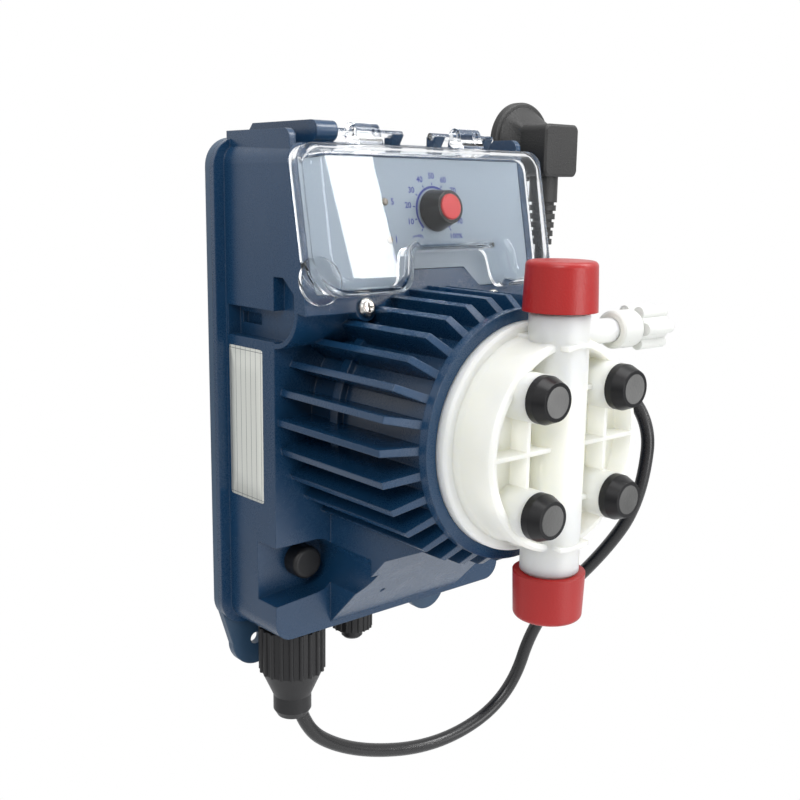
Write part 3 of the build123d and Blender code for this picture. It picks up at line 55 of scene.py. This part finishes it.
camera_data = bpy.data.cameras.new("camera")
camera_data.lens = camera_focus
camera_data.sensor_width = 36.0
camera_data.clip_start = 0.01
camera = bpy.data.objects.new("camera", camera_data)
look = (
    Matrix.Rotation(math.radians(camera_turn), 4, "Z")
    @ Matrix.Rotation(math.radians(90.0 - camera_fall), 4, "X")
    @ Matrix.Rotation(math.radians(camera_roll), 4, "Z")
)
camera.matrix_world = Matrix.Translation(camera_place) @ look
bpy.context.scene.collection.objects.link(camera)
bpy.context.scene.camera = camera
bpy.context.scene.view_settings.view_transform = "Standard"


def softbox(name, place, aim, sides, watts):
    """A rectangular area lamp at place, turned to shine at aim."""
    lamp = bpy.data.lights.new(name, "AREA")
    lamp.shape = "RECTANGLE"
    lamp.size = sides[0]
    lamp.size_y = sides[1]
    lamp.energy = watts
    lamp_object = bpy.data.objects.new(name, lamp)
    line = Vector(aim) - Vector(place)
    turn = line.to_track_quat("-Z", "Y").to_matrix().to_4x4()
    lamp_object.matrix_world = Matrix.Translation(place) @ turn
    bpy.context.scene.collection.objects.link(lamp_object)


pump_middle = (0.0, -0.07, -0.01)
softbox("lamp_left", (-0.95, -0.75, 0.75), pump_middle, (0.5, 0.5), 6.5)
softbox("lamp_right", (0.75, -0.75, 1.05), pump_middle, (0.45, 0.45), 9.5)
softbox("lamp_top", (-0.05, -0.25, 1.15), pump_middle, (0.9, 0.9), 9.0)
softbox("lamp_front", (0.25, -1.35, -0.10), pump_middle, (0.6, 0.6), 5.0)
# A narrow upright lamp stands where the clear cover mirrors it as one bright band.
softbox("lamp_band", (0.645, -0.885, 0.335), (-0.04, -0.062, 0.07), (0.064, 0.30), 1.4)

world = bpy.data.worlds.new("studio")
bpy.context.scene.world = world
world.use_nodes = True
sky = world.node_tree.nodes
sky.clear()
sky_out = sky.new("ShaderNodeOutputWorld")
sky_seen = sky.new("ShaderNodeMixShader")
sky_rays = sky.new("ShaderNodeLightPath")
sky_light = sky.new("ShaderNodeBackground")
sky_white = sky.new("ShaderNodeBackground")
sky_light.inputs["Color"].default_value = (0.95, 0.97, 1.0, 1.0)
sky_light.inputs["Strength"].default_value = 0.42
sky_white.inputs["Color"].default_value = (1.0, 1.0, 1.0, 1.0)
sky_white.inputs["Strength"].default_value = 1.0
sky_either = sky.new("ShaderNodeMath")
sky_either.operation = "MAXIMUM"
sky_any = sky.new("ShaderNodeMath")
sky_any.operation = "MAXIMUM"
world.node_tree.links.new(sky_rays.outputs["Is Camera Ray"], sky_either.inputs[0])
world.node_tree.links.new(sky_rays.outputs["Is Glossy Ray"], sky_either.inputs[1])
world.node_tree.links.new(sky_either.outputs[0], sky_any.inputs[0])
world.node_tree.links.new(sky_rays.outputs["Is Transmission Ray"], sky_any.inputs[1])
world.node_tree.links.new(sky_any.outputs[0], sky_seen.inputs[0])
world.node_tree.links.new(sky_light.outputs[0], sky_seen.inputs[1])
world.node_tree.links.new(sky_white.outputs[0], sky_seen.inputs[2])
world.node_tree.links.new(sky_seen.outputs[0], sky_out.inputs[0])

# A white floor well below the hanging pump takes its soft shadow.
floor_low = -0.42
floor_half = 6.0
floor_mesh = bpy.data.meshes.new("floor")
floor_mesh.from_pydata(
    [(-floor_half, -floor_half, floor_low), (floor_half, -floor_half, floor_low),
     (floor_half, floor_half, floor_low), (-floor_half, floor_half, floor_low)], [], [(0, 1, 2, 3)])
floor = bpy.data.objects.new("floor", floor_mesh)
bpy.context.scene.collection.objects.link(floor)
paper = bpy.data.materials.new("paper")
paper.use_nodes = True
paper_nodes = paper.node_tree.nodes
paper_nodes.clear()
paper_out = paper_nodes.new("ShaderNodeOutputMaterial")
paper_mix = paper_nodes.new("ShaderNodeMixShader")
paper_rays = paper_nodes.new("ShaderNodeLightPath")
paper_white = paper_nodes.new("ShaderNodeEmission")
paper_matt = paper_nodes.new("ShaderNodeBsdfDiffuse")
paper_matt.inputs["Color"].default_value = (0.92, 0.92, 0.92, 1.0)
paper_white.inputs["Color"].default_value = (1.0, 1.0, 1.0, 1.0)
paper.node_tree.links.new(paper_rays.outputs["Is Camera Ray"], paper_mix.inputs[0])
paper.node_tree.links.new(paper_matt.outputs[0], paper_mix.inputs[1])
paper.node_tree.links.new(paper_white.outputs[0], paper_mix.inputs[2])
paper.node_tree.links.new(paper_mix.outputs[0], paper_out.inputs[0])
floor_mesh.materials.append(paper)

# ============================================================ casing
# One deep moulding of glass-filled polypropylene, navy blue, with radial cooling fins round
# the drive. Its skin has a fine spark-eroded grain, and every edge is slightly rounded.


def moulded(name, colour, rough, grain, grain_size, edge=0.0004, tone=0.06, wear=0.0):
    """A moulded plastic. Colour is the base times a slow noise; roughness follows the fine
    grain; the normal is the rounded-edge normal, raised by the grain's noise. edge is in
    metres, tone is a share of the colour, and wear is how much rubbed patches lose in roughness."""
    material = bpy.data.materials.new(name)
    material.use_nodes = True
    nodes = material.node_tree.nodes
    links = material.node_tree.links
    shader = nodes["Principled BSDF"]
    place = nodes.new("ShaderNodeTexCoord")
    slow = nodes.new("ShaderNodeTexNoise")
    slow.inputs["Scale"].default_value = 28.0
    slow.inputs["Detail"].default_value = 3.0
    links.new(place.outputs["Object"], slow.inputs["Vector"])
    ramp = nodes.new("ShaderNodeValToRGB")
    ramp.color_ramp.elements[0].position = 0.3
    ramp.color_ramp.elements[0].color = (*[channel * (1.0 - tone) for channel in colour], 1.0)
    ramp.color_ramp.elements[1].position = 0.7
    ramp.color_ramp.elements[1].color = (*[min(channel * (1.0 + tone), 1.0) for channel in colour], 1.0)
    links.new(slow.outputs["Fac"], ramp.inputs["Fac"])
    links.new(ramp.outputs["Color"], shader.inputs["Base Color"])
    fine = nodes.new("ShaderNodeTexNoise")
    fine.inputs["Scale"].default_value = grain_size
    fine.inputs["Detail"].default_value = 2.0
    links.new(place.outputs["Object"], fine.inputs["Vector"])
    rough_range = nodes.new("ShaderNodeMapRange")
    rough_range.inputs["To Min"].default_value = rough - 0.06
    rough_range.inputs["To Max"].default_value = rough + 0.06
    links.new(fine.outputs["Fac"], rough_range.inputs["Value"])
    if wear:
        rubbed = nodes.new("ShaderNodeTexNoise")
        rubbed.inputs["Scale"].default_value = 55.0
        rubbed.inputs["Detail"].default_value = 6.0
        links.new(place.outputs["Object"], rubbed.inputs["Vector"])
        polish = nodes.new("ShaderNodeMapRange")
        polish.inputs["From Min"].default_value = 0.5
        polish.inputs["From Max"].default_value = 0.75
        polish.inputs["To Min"].default_value = 0.0
        polish.inputs["To Max"].default_value = -wear
        links.new(rubbed.outputs["Fac"], polish.inputs["Value"])
        total = nodes.new("ShaderNodeMath")
        links.new(rough_range.outputs["Result"], total.inputs[0])
        links.new(polish.outputs["Result"], total.inputs[1])
        links.new(total.outputs[0], shader.inputs["Roughness"])
    else:
        links.new(rough_range.outputs["Result"], shader.inputs["Roughness"])
    rounded = nodes.new("ShaderNodeBevel")
    rounded.samples = 4
    rounded.inputs["Radius"].default_value = edge
    bump = nodes.new("ShaderNodeBump")
    bump.inputs["Strength"].default_value = grain
    bump.inputs["Distance"].default_value = 0.0002
    links.new(fine.outputs["Fac"], bump.inputs["Height"])
    links.new(rounded.outputs["Normal"], bump.inputs["Normal"])
    links.new(bump.outputs["Normal"], shader.inputs["Normal"])
    return material


def dull(material):
    """Less of a shine than the shader's own, for dark soft plastics."""
    material.node_tree.nodes["Principled BSDF"].inputs["Specular IOR Level"].default_value = 0.32


def dress(material, *nodes):
    """Give the CAD nodes this material."""
    for node in nodes:
        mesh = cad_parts[node].data
        mesh.materials.clear()
        mesh.materials.append(material)


casing_blue = moulded("casing_blue", (0.007, 0.038, 0.092), 0.28, 0.30, 2600.0, 0.0007, 0.07, 0.08)
dress(casing_blue, "casing")

# ============================================================ rear cover and its gasket
# A flat moulded lid of the same plastic in a greyer blue, with the two wall lugs, screwed
# on over a black rubber gasket.
cover_blue = moulded("cover_blue", (0.024, 0.060, 0.112), 0.40, 0.30, 2600.0, 0.0008, 0.06)
gasket_rubber = moulded("gasket_rubber", (0.014, 0.014, 0.015), 0.6, 0.2, 1800.0, 0.0002)
dress(cover_blue, "rear_cover")
dress(gasket_rubber, "rear_gasket")

# ============================================================ rating plate
# A white polyester sticker on the casing's left side, ruled into rows and left blank.
sticker_near = 0.0085      # depths of its two edges
sticker_far = 0.0325
sticker_low = -0.0435
sticker_high = 0.0208
sticker_lift = 0.00012
sticker_corner = 0.0012
sticker_margin = 0.0012    # from its edge to the first ruled line
casing_side = 0.0662       # half width of the casing at the depth of its flange
casing_flange = 0.004
casing_draft = math.radians(1.6)


def sticker_points():
    """Outline of a rectangle with corners of quarter circles, drawn inwards on a grid: each
    ring is the outline shrunk towards the middle, and X follows the side's draft."""
    turn = np.linspace(0.0, 2.0 * np.pi, 64, endpoint=False)
    half_d = (sticker_far - sticker_near) / 2
    half_z = (sticker_high - sticker_low) / 2
    reach_d = np.sign(np.cos(turn)) * (half_d - sticker_corner) + sticker_corner * np.cos(turn)
    reach_z = np.sign(np.sin(turn)) * (half_z - sticker_corner) + sticker_corner * np.sin(turn)
    rings = np.array([1.0, 1.0, 0.66, 0.33, 0.001])[:, None]
    depth = (sticker_near + sticker_far) / 2 + rings * reach_d[None, :]
    height = (sticker_low + sticker_high) / 2 + rings * reach_z[None, :]
    lift = np.full_like(depth, sticker_lift)
    lift[0] = -sticker_lift
    side = -(casing_side - (depth - casing_flange) * math.tan(casing_draft)) - lift
    return np.stack([side, -depth, height], axis=-1)


def grid_mesh(name, points, around=True):
    """A mesh of quads over a grid of points, closed round its second direction if asked."""
    rows, columns = points.shape[:2]
    index = np.arange(rows * columns).reshape(rows, columns)
    beside = np.roll(index, -1, axis=1) if around else index[:, 1:]
    here = index if around else index[:, :-1]
    faces = np.stack([here[:-1], beside[:-1], beside[1:], here[1:]], axis=-1).reshape(-1, 4)
    mesh = bpy.data.meshes.new(name)
    mesh.from_pydata(points.reshape(-1, 3).tolist(), [], faces.tolist())
    mesh.polygons.foreach_set("use_smooth", np.ones(len(mesh.polygons), dtype=bool))
    return mesh


def outward(mesh, away_from):
    """Turn the faces of an open sheet so that their normals point away from a place."""
    work = bmesh.new()
    work.from_mesh(mesh)
    bmesh.ops.recalc_face_normals(work, faces=work.faces)
    middle = max(work.faces, key=lambda face: face.calc_area())
    if middle.normal.dot(middle.calc_center_median() - Vector(away_from)) < 0.0:
        bmesh.ops.reverse_faces(work, faces=work.faces)
    work.to_mesh(mesh)
    work.free()


sticker_mesh = grid_mesh("rating_sticker", sticker_points())
outward(sticker_mesh, (0.0, -0.02, 0.0))
rating_sticker = bpy.data.objects.new("rating_sticker", sticker_mesh)
bpy.context.scene.collection.objects.link(rating_sticker)
sticker_film = bpy.data.materials.new("sticker_film")
sticker_film.use_nodes = True
film_nodes = sticker_film.node_tree.nodes
film_links = sticker_film.node_tree.links
film_shader = film_nodes["Principled BSDF"]
film_shader.inputs["Roughness"].default_value = 0.35
film_place = film_nodes.new("ShaderNodeTexCoord")
film_turn = film_nodes.new("ShaderNodeMapping")
film_corner = (0.0, sticker_far - sticker_margin, -sticker_low - sticker_margin)
film_turn.inputs["Location"].default_value = film_corner
film_links.new(film_place.outputs["Object"], film_turn.inputs["Vector"])
film_axes = film_nodes.new("ShaderNodeSeparateXYZ")
film_links.new(film_turn.outputs["Vector"], film_axes.inputs["Vector"])
film_flat = film_nodes.new("ShaderNodeCombineXYZ")
film_links.new(film_axes.outputs["Z"], film_flat.inputs["X"])
film_links.new(film_axes.outputs["Y"], film_flat.inputs["Y"])
film_rows = film_nodes.new("ShaderNodeTexBrick")
film_rows.offset = 0.0
film_rows.inputs["Scale"].default_value = 1.0
film_rows.inputs["Brick Width"].default_value = 0.0619
film_rows.inputs["Row Height"].default_value = 0.0036
film_rows.inputs["Mortar Size"].default_value = 0.00012
film_rows.inputs["Mortar Smooth"].default_value = 0.1
for shade in ("Color1", "Color2"):
    film_rows.inputs[shade].default_value = (0.66, 0.67, 0.62, 1.0)
film_rows.inputs["Mortar"].default_value = (0.10, 0.11, 0.12, 1.0)
film_links.new(film_flat.outputs["Vector"], film_rows.inputs["Vector"])
film_links.new(film_rows.outputs["Color"], film_shader.inputs["Base Color"])
sticker_mesh.materials.append(sticker_film)
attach(rating_sticker, "pump")

# ============================================================ control panel
# A printed polyester film on a thin plate, grey-blue, let into the console. The dial's
# scale, the lamps' numbers and the pulse sign are printed in blue.
panel_film = moulded("panel_film", (0.26, 0.31, 0.36), 0.38, 0.06, 2600.0, 0.0003, 0.02)
dress(panel_film, "control_panel")
console_tilt = math.radians(11.0)
console_depth = 0.0491     # of the upper edge of its front
console_top = 0.102        # height of that edge
console_place = Matrix((
    (1.0, 0.0, 0.0, 0.0),
    (0.0, math.sin(console_tilt), -math.cos(console_tilt), -console_depth),
    (0.0, math.cos(console_tilt), math.sin(console_tilt), console_top),
    (0.0, 0.0, 0.0, 1.0),
))
print_lift = -0.00016      # the ink, off the console's front
dial_x = 0.0065
dial_y = -0.026
sweep = 270.0
ring_inner = 0.0094
ring_outer = 0.0104
tick_inner = 0.0107
tick_outer = 0.0118
tick_wide = 0.0005
number_r = 0.0145
word_out = 0.0008          # words of three letters or more stand further out
lamp_number_x = -0.0160
lamp_number_size = 0.0036
pulse_place = (-0.0195, -0.0458)
pulse_w = 0.0028           # half width of the pulse sign
pulse_top_w = 0.0014
pulse_h = 0.0022
pulse_wide = 0.0006        # thickness of its line
number_size = 0.0034
number_bold = 0.00008
ink = moulded("blue_ink", (0.006, 0.020, 0.20), 0.5, 0.05, 2600.0, 0.00005, 0.05)


def on_console(flat):
    """Points (x, y) of the panel's plane, lifted and laid on the sloping console."""
    lifted = np.concatenate([flat, np.full(flat.shape[:-1] + (1,), print_lift)], axis=-1)
    turn = np.array(console_place)
    return lifted @ turn[:3, :3].T + turn[:3, 3]


def ring_points():
    """Grid over angle and radius of the scale's arc, open at the bottom."""
    turn = np.radians(90.0 + sweep / 2 - np.linspace(0.0, sweep, 73))
    radius = np.array([ring_inner, ring_outer])[:, None]
    return np.stack([dial_x + radius * np.cos(turn), dial_y + radius * np.sin(turn)], axis=-1)


def strokes(starts, ends, wide):
    """Quads of one width along straight strokes: each end is moved aside by half the width."""
    along = ends - starts
    aside = np.stack([-along[:, 1], along[:, 0]], axis=-1)
    aside *= wide / 2 / np.linalg.norm(along, axis=1, keepdims=True)
    return np.stack([starts - aside, ends - aside, ends + aside, starts + aside], axis=1)


def print_piece(name, points, faces):
    """A flat print on the console, facing out."""
    mesh = bpy.data.meshes.new(name)
    mesh.from_pydata(points.tolist(), [], faces.tolist())
    outward(mesh, (0.0, 0.0, 0.0))
    mesh.materials.append(ink)
    piece = bpy.data.objects.new(name, mesh)
    bpy.context.scene.collection.objects.link(piece)
    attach(piece, "pump")


scale_ring = ring_points()
ring_index = np.arange(scale_ring.shape[0] * scale_ring.shape[1]).reshape(scale_ring.shape[:2])
ring_faces = np.stack([ring_index[0, :-1], ring_index[0, 1:], ring_index[1, 1:], ring_index[1, :-1]], axis=-1)
print_piece("dial_arc", on_console(scale_ring).reshape(-1, 3), ring_faces)

tick_turn = np.radians(90.0 + sweep / 2 - np.arange(11) * sweep / 10)
tick_way = np.stack([np.cos(tick_turn), np.sin(tick_turn)], axis=-1)
dial_middle = np.array([dial_x, dial_y])
ticks = strokes(dial_middle + tick_inner * tick_way, dial_middle + tick_outer * tick_way, tick_wide)
pulse_path = np.array([(-pulse_w, 0.0), (-pulse_top_w, 0.0), (-pulse_top_w, pulse_h), (pulse_top_w, pulse_h),
                       (pulse_top_w, 0.0), (pulse_w, 0.0)]) + np.array(pulse_place)
pulse = strokes(pulse_path[:-1], pulse_path[1:], pulse_wide)
marks = np.concatenate([ticks, pulse])
print_piece("scale_ticks", on_console(marks).reshape(-1, 3), np.arange(len(marks) * 4).reshape(-1, 4))


def written(words, x, y, size):
    """Words as a flat mesh, centred at (x, y) on the panel and laid on the console."""
    curve = bpy.data.curves.new("words", "FONT")
    curve.body = words
    curve.size = size
    curve.align_x = "CENTER"
    curve.align_y = "CENTER"
    curve.resolution_u = 3
    curve.offset = number_bold
    holder = bpy.data.objects.new("words", curve)
    mesh = bpy.data.meshes.new_from_object(holder)
    mesh.transform(console_place @ Matrix.Translation((x, y, print_lift)))
    bpy.data.objects.remove(holder)
    bpy.data.curves.remove(curve)
    return mesh


number_words = ["min", "10", "20", "30", "40", "50", "60", "70", "80", "90", "100%"]
number_r_each = [number_r + word_out * (len(word) > 2) for word in number_words]
lettering = bmesh.new()
for word, turn, radius in zip(number_words, tick_turn, number_r_each):
    lettering.from_mesh(written(word, dial_x + radius * math.cos(turn), dial_y + radius * math.sin(turn),
                                number_size))
lettering.from_mesh(written("5", lamp_number_x, -0.0223, lamp_number_size))
lettering.from_mesh(written("1", lamp_number_x, -0.0377, lamp_number_size))
numbers_mesh = bpy.data.meshes.new("dial_numbers")
lettering.to_mesh(numbers_mesh)
lettering.free()
numbers_mesh.materials.append(ink)
dial_numbers = bpy.data.objects.new("dial_numbers", numbers_mesh)
bpy.context.scene.collection.objects.link(dial_numbers)
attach(dial_numbers, "pump")

# ============================================================ lamps, boards and potentiometer
# Two round lamps show through the panel. The boards behind are lacquered green laminate, and
# the potentiometer and terminals are black mouldings.
lamp_lens = moulded("lamp_lens", (0.26, 0.22, 0.17), 0.22, 0.05, 1500.0, 0.0002)
lacquer = moulded("board_lacquer", (0.02, 0.16, 0.06), 0.3, 0.1, 1500.0, 0.0001)
inner_black = moulded("inner_black", (0.014, 0.014, 0.015), 0.45, 0.2, 2200.0, 0.0003)
dress(lamp_lens, "status_leds")
dress(lacquer, "circuit_board", "power_board")
dress(inner_black, "potentiometer", "terminal_block", "coil_bobbin")

# ============================================================ dial knob
# A fluted black knob of nylon with a red cap pressed into its end.
knob_black = moulded("knob_black", (0.004, 0.004, 0.004), 0.34, 0.12, 2400.0, 0.0003, 0.1)
knob_red = moulded("knob_red", (0.55, 0.010, 0.012), 0.30, 0.10, 2400.0, 0.0003, 0.04)
dull(knob_black)
dress(knob_black, "knob")
dress(knob_red, "knob_cap")

# ============================================================ clear cover
# One piece of clear polycarbonate, pillow shaped, with its hinge pins moulded on.
clear = bpy.data.materials.new("clear_polycarbonate")
clear.use_nodes = True
clear_nodes = clear.node_tree.nodes
clear_links = clear.node_tree.links
clear_shader = clear_nodes["Principled BSDF"]
clear_shader.inputs["Base Color"].default_value = (0.97, 0.985, 1.0, 1.0)
clear_shader.inputs["IOR"].default_value = 1.30
clear_shader.inputs["Transmission Weight"].default_value = 1.0
clear_place = clear_nodes.new("ShaderNodeTexCoord")
clear_flow = clear_nodes.new("ShaderNodeTexNoise")
clear_flow.inputs["Scale"].default_value = 60.0
clear_flow.inputs["Detail"].default_value = 1.0
clear_links.new(clear_place.outputs["Object"], clear_flow.inputs["Vector"])
clear_haze = clear_nodes.new("ShaderNodeMapRange")
clear_haze.inputs["To Min"].default_value = 0.0
clear_haze.inputs["To Max"].default_value = 0.012
clear_links.new(clear_flow.outputs["Fac"], clear_haze.inputs["Value"])
clear_links.new(clear_haze.outputs["Result"], clear_shader.inputs["Roughness"])
clear_edge = clear_nodes.new("ShaderNodeBevel")
clear_edge.samples = 4
clear_edge.inputs["Radius"].default_value = 0.0005
clear_links.new(clear_edge.outputs["Normal"], clear_shader.inputs["Normal"])
dress(clear, "clear_cover")

# ============================================================ screws, rods and springs
# Turned and headed steel: bright screws on the console, plain screws in the rear cover and
# head, the dial's shaft, the push rod and the return spring.


def metal(name, colour, rough, brush, edge=0.0002):
    """A machined metal: bright, its roughness and bump following a fine noise of tool marks."""
    material = bpy.data.materials.new(name)
    material.use_nodes = True
    nodes = material.node_tree.nodes
    links = material.node_tree.links
    shader = nodes["Principled BSDF"]
    shader.inputs["Base Color"].default_value = (*colour, 1.0)
    shader.inputs["Metallic"].default_value = 1.0
    place = nodes.new("ShaderNodeTexCoord")
    marks_noise = nodes.new("ShaderNodeTexNoise")
    marks_noise.inputs["Scale"].default_value = brush
    links.new(place.outputs["Object"], marks_noise.inputs["Vector"])
    spread = nodes.new("ShaderNodeMapRange")
    spread.inputs["To Min"].default_value = rough - 0.08
    spread.inputs["To Max"].default_value = rough + 0.08
    links.new(marks_noise.outputs["Fac"], spread.inputs["Value"])
    links.new(spread.outputs["Result"], shader.inputs["Roughness"])
    rounded = nodes.new("ShaderNodeBevel")
    rounded.samples = 4
    rounded.inputs["Radius"].default_value = edge
    bump = nodes.new("ShaderNodeBump")
    bump.inputs["Strength"].default_value = 0.15
    bump.inputs["Distance"].default_value = 0.0001
    links.new(marks_noise.outputs["Fac"], bump.inputs["Height"])
    links.new(rounded.outputs["Normal"], bump.inputs["Normal"])
    links.new(bump.outputs["Normal"], shader.inputs["Normal"])
    return material


screw_steel = metal("screw_steel", (0.50, 0.48, 0.45), 0.22, 900.0)
dress(screw_steel, "casing_screws", "console_screws", "knob_shaft", "push_rod", "return_spring", "head_bolts")

# ============================================================ solenoid
# A soft-iron yoke, pole piece and plunger round a coil of enamelled copper wire. In the pump the
# return spring gets shorter as the plunger comes forward; here it is copied unchanged into a mesh of its own
# in place of the CAD spring.
soft_iron = metal("soft_iron", (0.33, 0.33, 0.34), 0.4, 700.0)
copper_wire = metal("copper_wire", (0.72, 0.33, 0.15), 0.35, 1600.0)
dress(soft_iron, "magnet_yoke", "pole_piece", "plunger")
dress(copper_wire, "coil_winding")
live_spring = bpy.data.objects.new("live_spring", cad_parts["return_spring"].data.copy())
bpy.context.scene.collection.objects.link(live_spring)
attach(live_spring, "pump")
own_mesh(live_spring)
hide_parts("return_spring")

# ============================================================ pump head and its valves
# The head and valves are moulded in natural, milky polypropylene, through which light
# spreads, and the bleed valve in a clearer grade. The diaphragm and the balls are white
# fluoropolymer.
milky = moulded("milky_polymer", (0.83, 0.83, 0.75), 0.34, 0.10, 1500.0, 0.0008, 0.025)
milky_shader = milky.node_tree.nodes["Principled BSDF"]
milky_shader.inputs["Subsurface Weight"].default_value = 0.85
milky_shader.inputs["Subsurface Radius"].default_value = (1.0, 0.95, 0.8)
milky_shader.inputs["Subsurface Scale"].default_value = 0.018
fluoropolymer = moulded("fluoropolymer", (0.82, 0.82, 0.80), 0.35, 0.05, 1500.0, 0.0003, 0.02)
valve_rubber = moulded("valve_rubber", (0.014, 0.014, 0.015), 0.55, 0.3, 1800.0, 0.0002)
clearer = moulded("clearer_polymer", (0.80, 0.81, 0.78), 0.30, 0.01, 1500.0, 0.0006, 0.03)
clearer_shader = clearer.node_tree.nodes["Principled BSDF"]
clearer_shader.inputs["Transmission Weight"].default_value = 0.2
clearer_shader.inputs["IOR"].default_value = 1.35
dress(milky, "pump_head", "suction_valve", "discharge_valve", "suction_cage", "suction_seat",
      "discharge_seat", "diaphragm_backing")
dress(clearer, "bleed_body", "bleed_knob")
dress(fluoropolymer, "diaphragm", "suction_ball", "discharge_ball")
dress(valve_rubber, "port_seals", "bleed_seal")

# ============================================================ bolt caps
# Black polyethylene caps push over the heads of the four head bolts. Each has a disc of a
# greyer, grainy plastic in its end.
cap_black = moulded("cap_black", (0.003, 0.003, 0.004), 0.36, 0.15, 1800.0, 0.0005, 0.1, 0.1)
disc_grey = moulded("disc_grey", (0.10, 0.10, 0.098), 0.42, 0.9, 1100.0, 0.0002, 0.5)
dull(cap_black)
dress(cap_black, "bolt_caps")
dress(disc_grey, "bolt_cap_discs")

# ============================================================ transit caps
# Soft red polyethylene caps close both ports until the pump is piped up.
cap_red = moulded("cap_red", (0.34, 0.006, 0.005), 0.36, 0.35, 1500.0, 0.0006, 0.08)
dress(cap_red, "suction_cap", "discharge_cap")

# ============================================================ cable glands and blanking plug
# Black nylon glands with ribbed nuts close round the mains cord and the signal entry, and a
# black plug fills the spare hole in the bay.
gland_black = moulded("gland_black", (0.012, 0.012, 0.013), 0.40, 0.2, 2200.0, 0.0004, 0.1)
gland_rubber = moulded("gland_rubber", (0.014, 0.014, 0.015), 0.6, 0.2, 1800.0, 0.0002)
dress(gland_black, "gland_body", "gland_nut", "gland_locknut", "signal_gland", "signal_plug", "blanking_plug")
dull(gland_black)
dress(gland_rubber, "gland_seal")

# ============================================================ mains plug
# An angled two-pin plug, moulded in one with its ribbed relief sleeve from black vinyl, with
# a coarse grain on its grip faces and plated brass pins.
plug_vinyl = moulded("plug_vinyl", (0.012, 0.012, 0.012), 0.46, 0.9, 1300.0, 0.0006, 0.25)
pin_plating = metal("pin_plating", (0.62, 0.60, 0.56), 0.2, 900.0)
dress(plug_vinyl, "plug_body", "strain_relief")
dress(pin_plating, "plug_pins")

# ============================================================ mains cord
# Three-core flexible cord, 6.5 mm across, from the gland round under the pump and up
# behind the head to the plug's relief sleeve.
cord_vinyl = moulded("cord_vinyl", (0.010, 0.010, 0.011), 0.28, 0.08, 900.0, 0.0002, 0.1)
cord_radius = 0.00325
cord_points = (
    (-0.0432, -0.020, -0.120),
    (-0.0432, -0.020, -0.154),
    (-0.012, -0.022, -0.1795),
    (0.042, -0.027, -0.193),
    (0.086, -0.033, -0.178),
    (0.097, -0.040, -0.131),
    (0.111, -0.068, -0.096),
    (0.121, -0.084, -0.064),
    (0.1245, -0.085, -0.014),
    (0.0915, -0.038, 0.016),
    (0.0915, -0.038, 0.060),
)
cord_curve = bpy.data.curves.new("mains_cord", "CURVE")
cord_curve.dimensions = "3D"
cord_curve.bevel_depth = cord_radius
cord_curve.bevel_resolution = 5
cord_curve.use_fill_caps = True
cord_curve.resolution_u = 24
cord_line = cord_curve.splines.new("NURBS")
cord_line.points.add(len(cord_points) - 1)
for point, place in zip(cord_line.points, cord_points):
    point.co = (*place, 1.0)
cord_line.order_u = 3
cord_line.use_endpoint_u = True
mains_cord = bpy.data.objects.new("mains_cord", cord_curve)
bpy.context.scene.collection.objects.link(mains_cord)
cord_curve.materials.append(cord_vinyl)
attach(mains_cord, "pump")
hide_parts("power_cord")
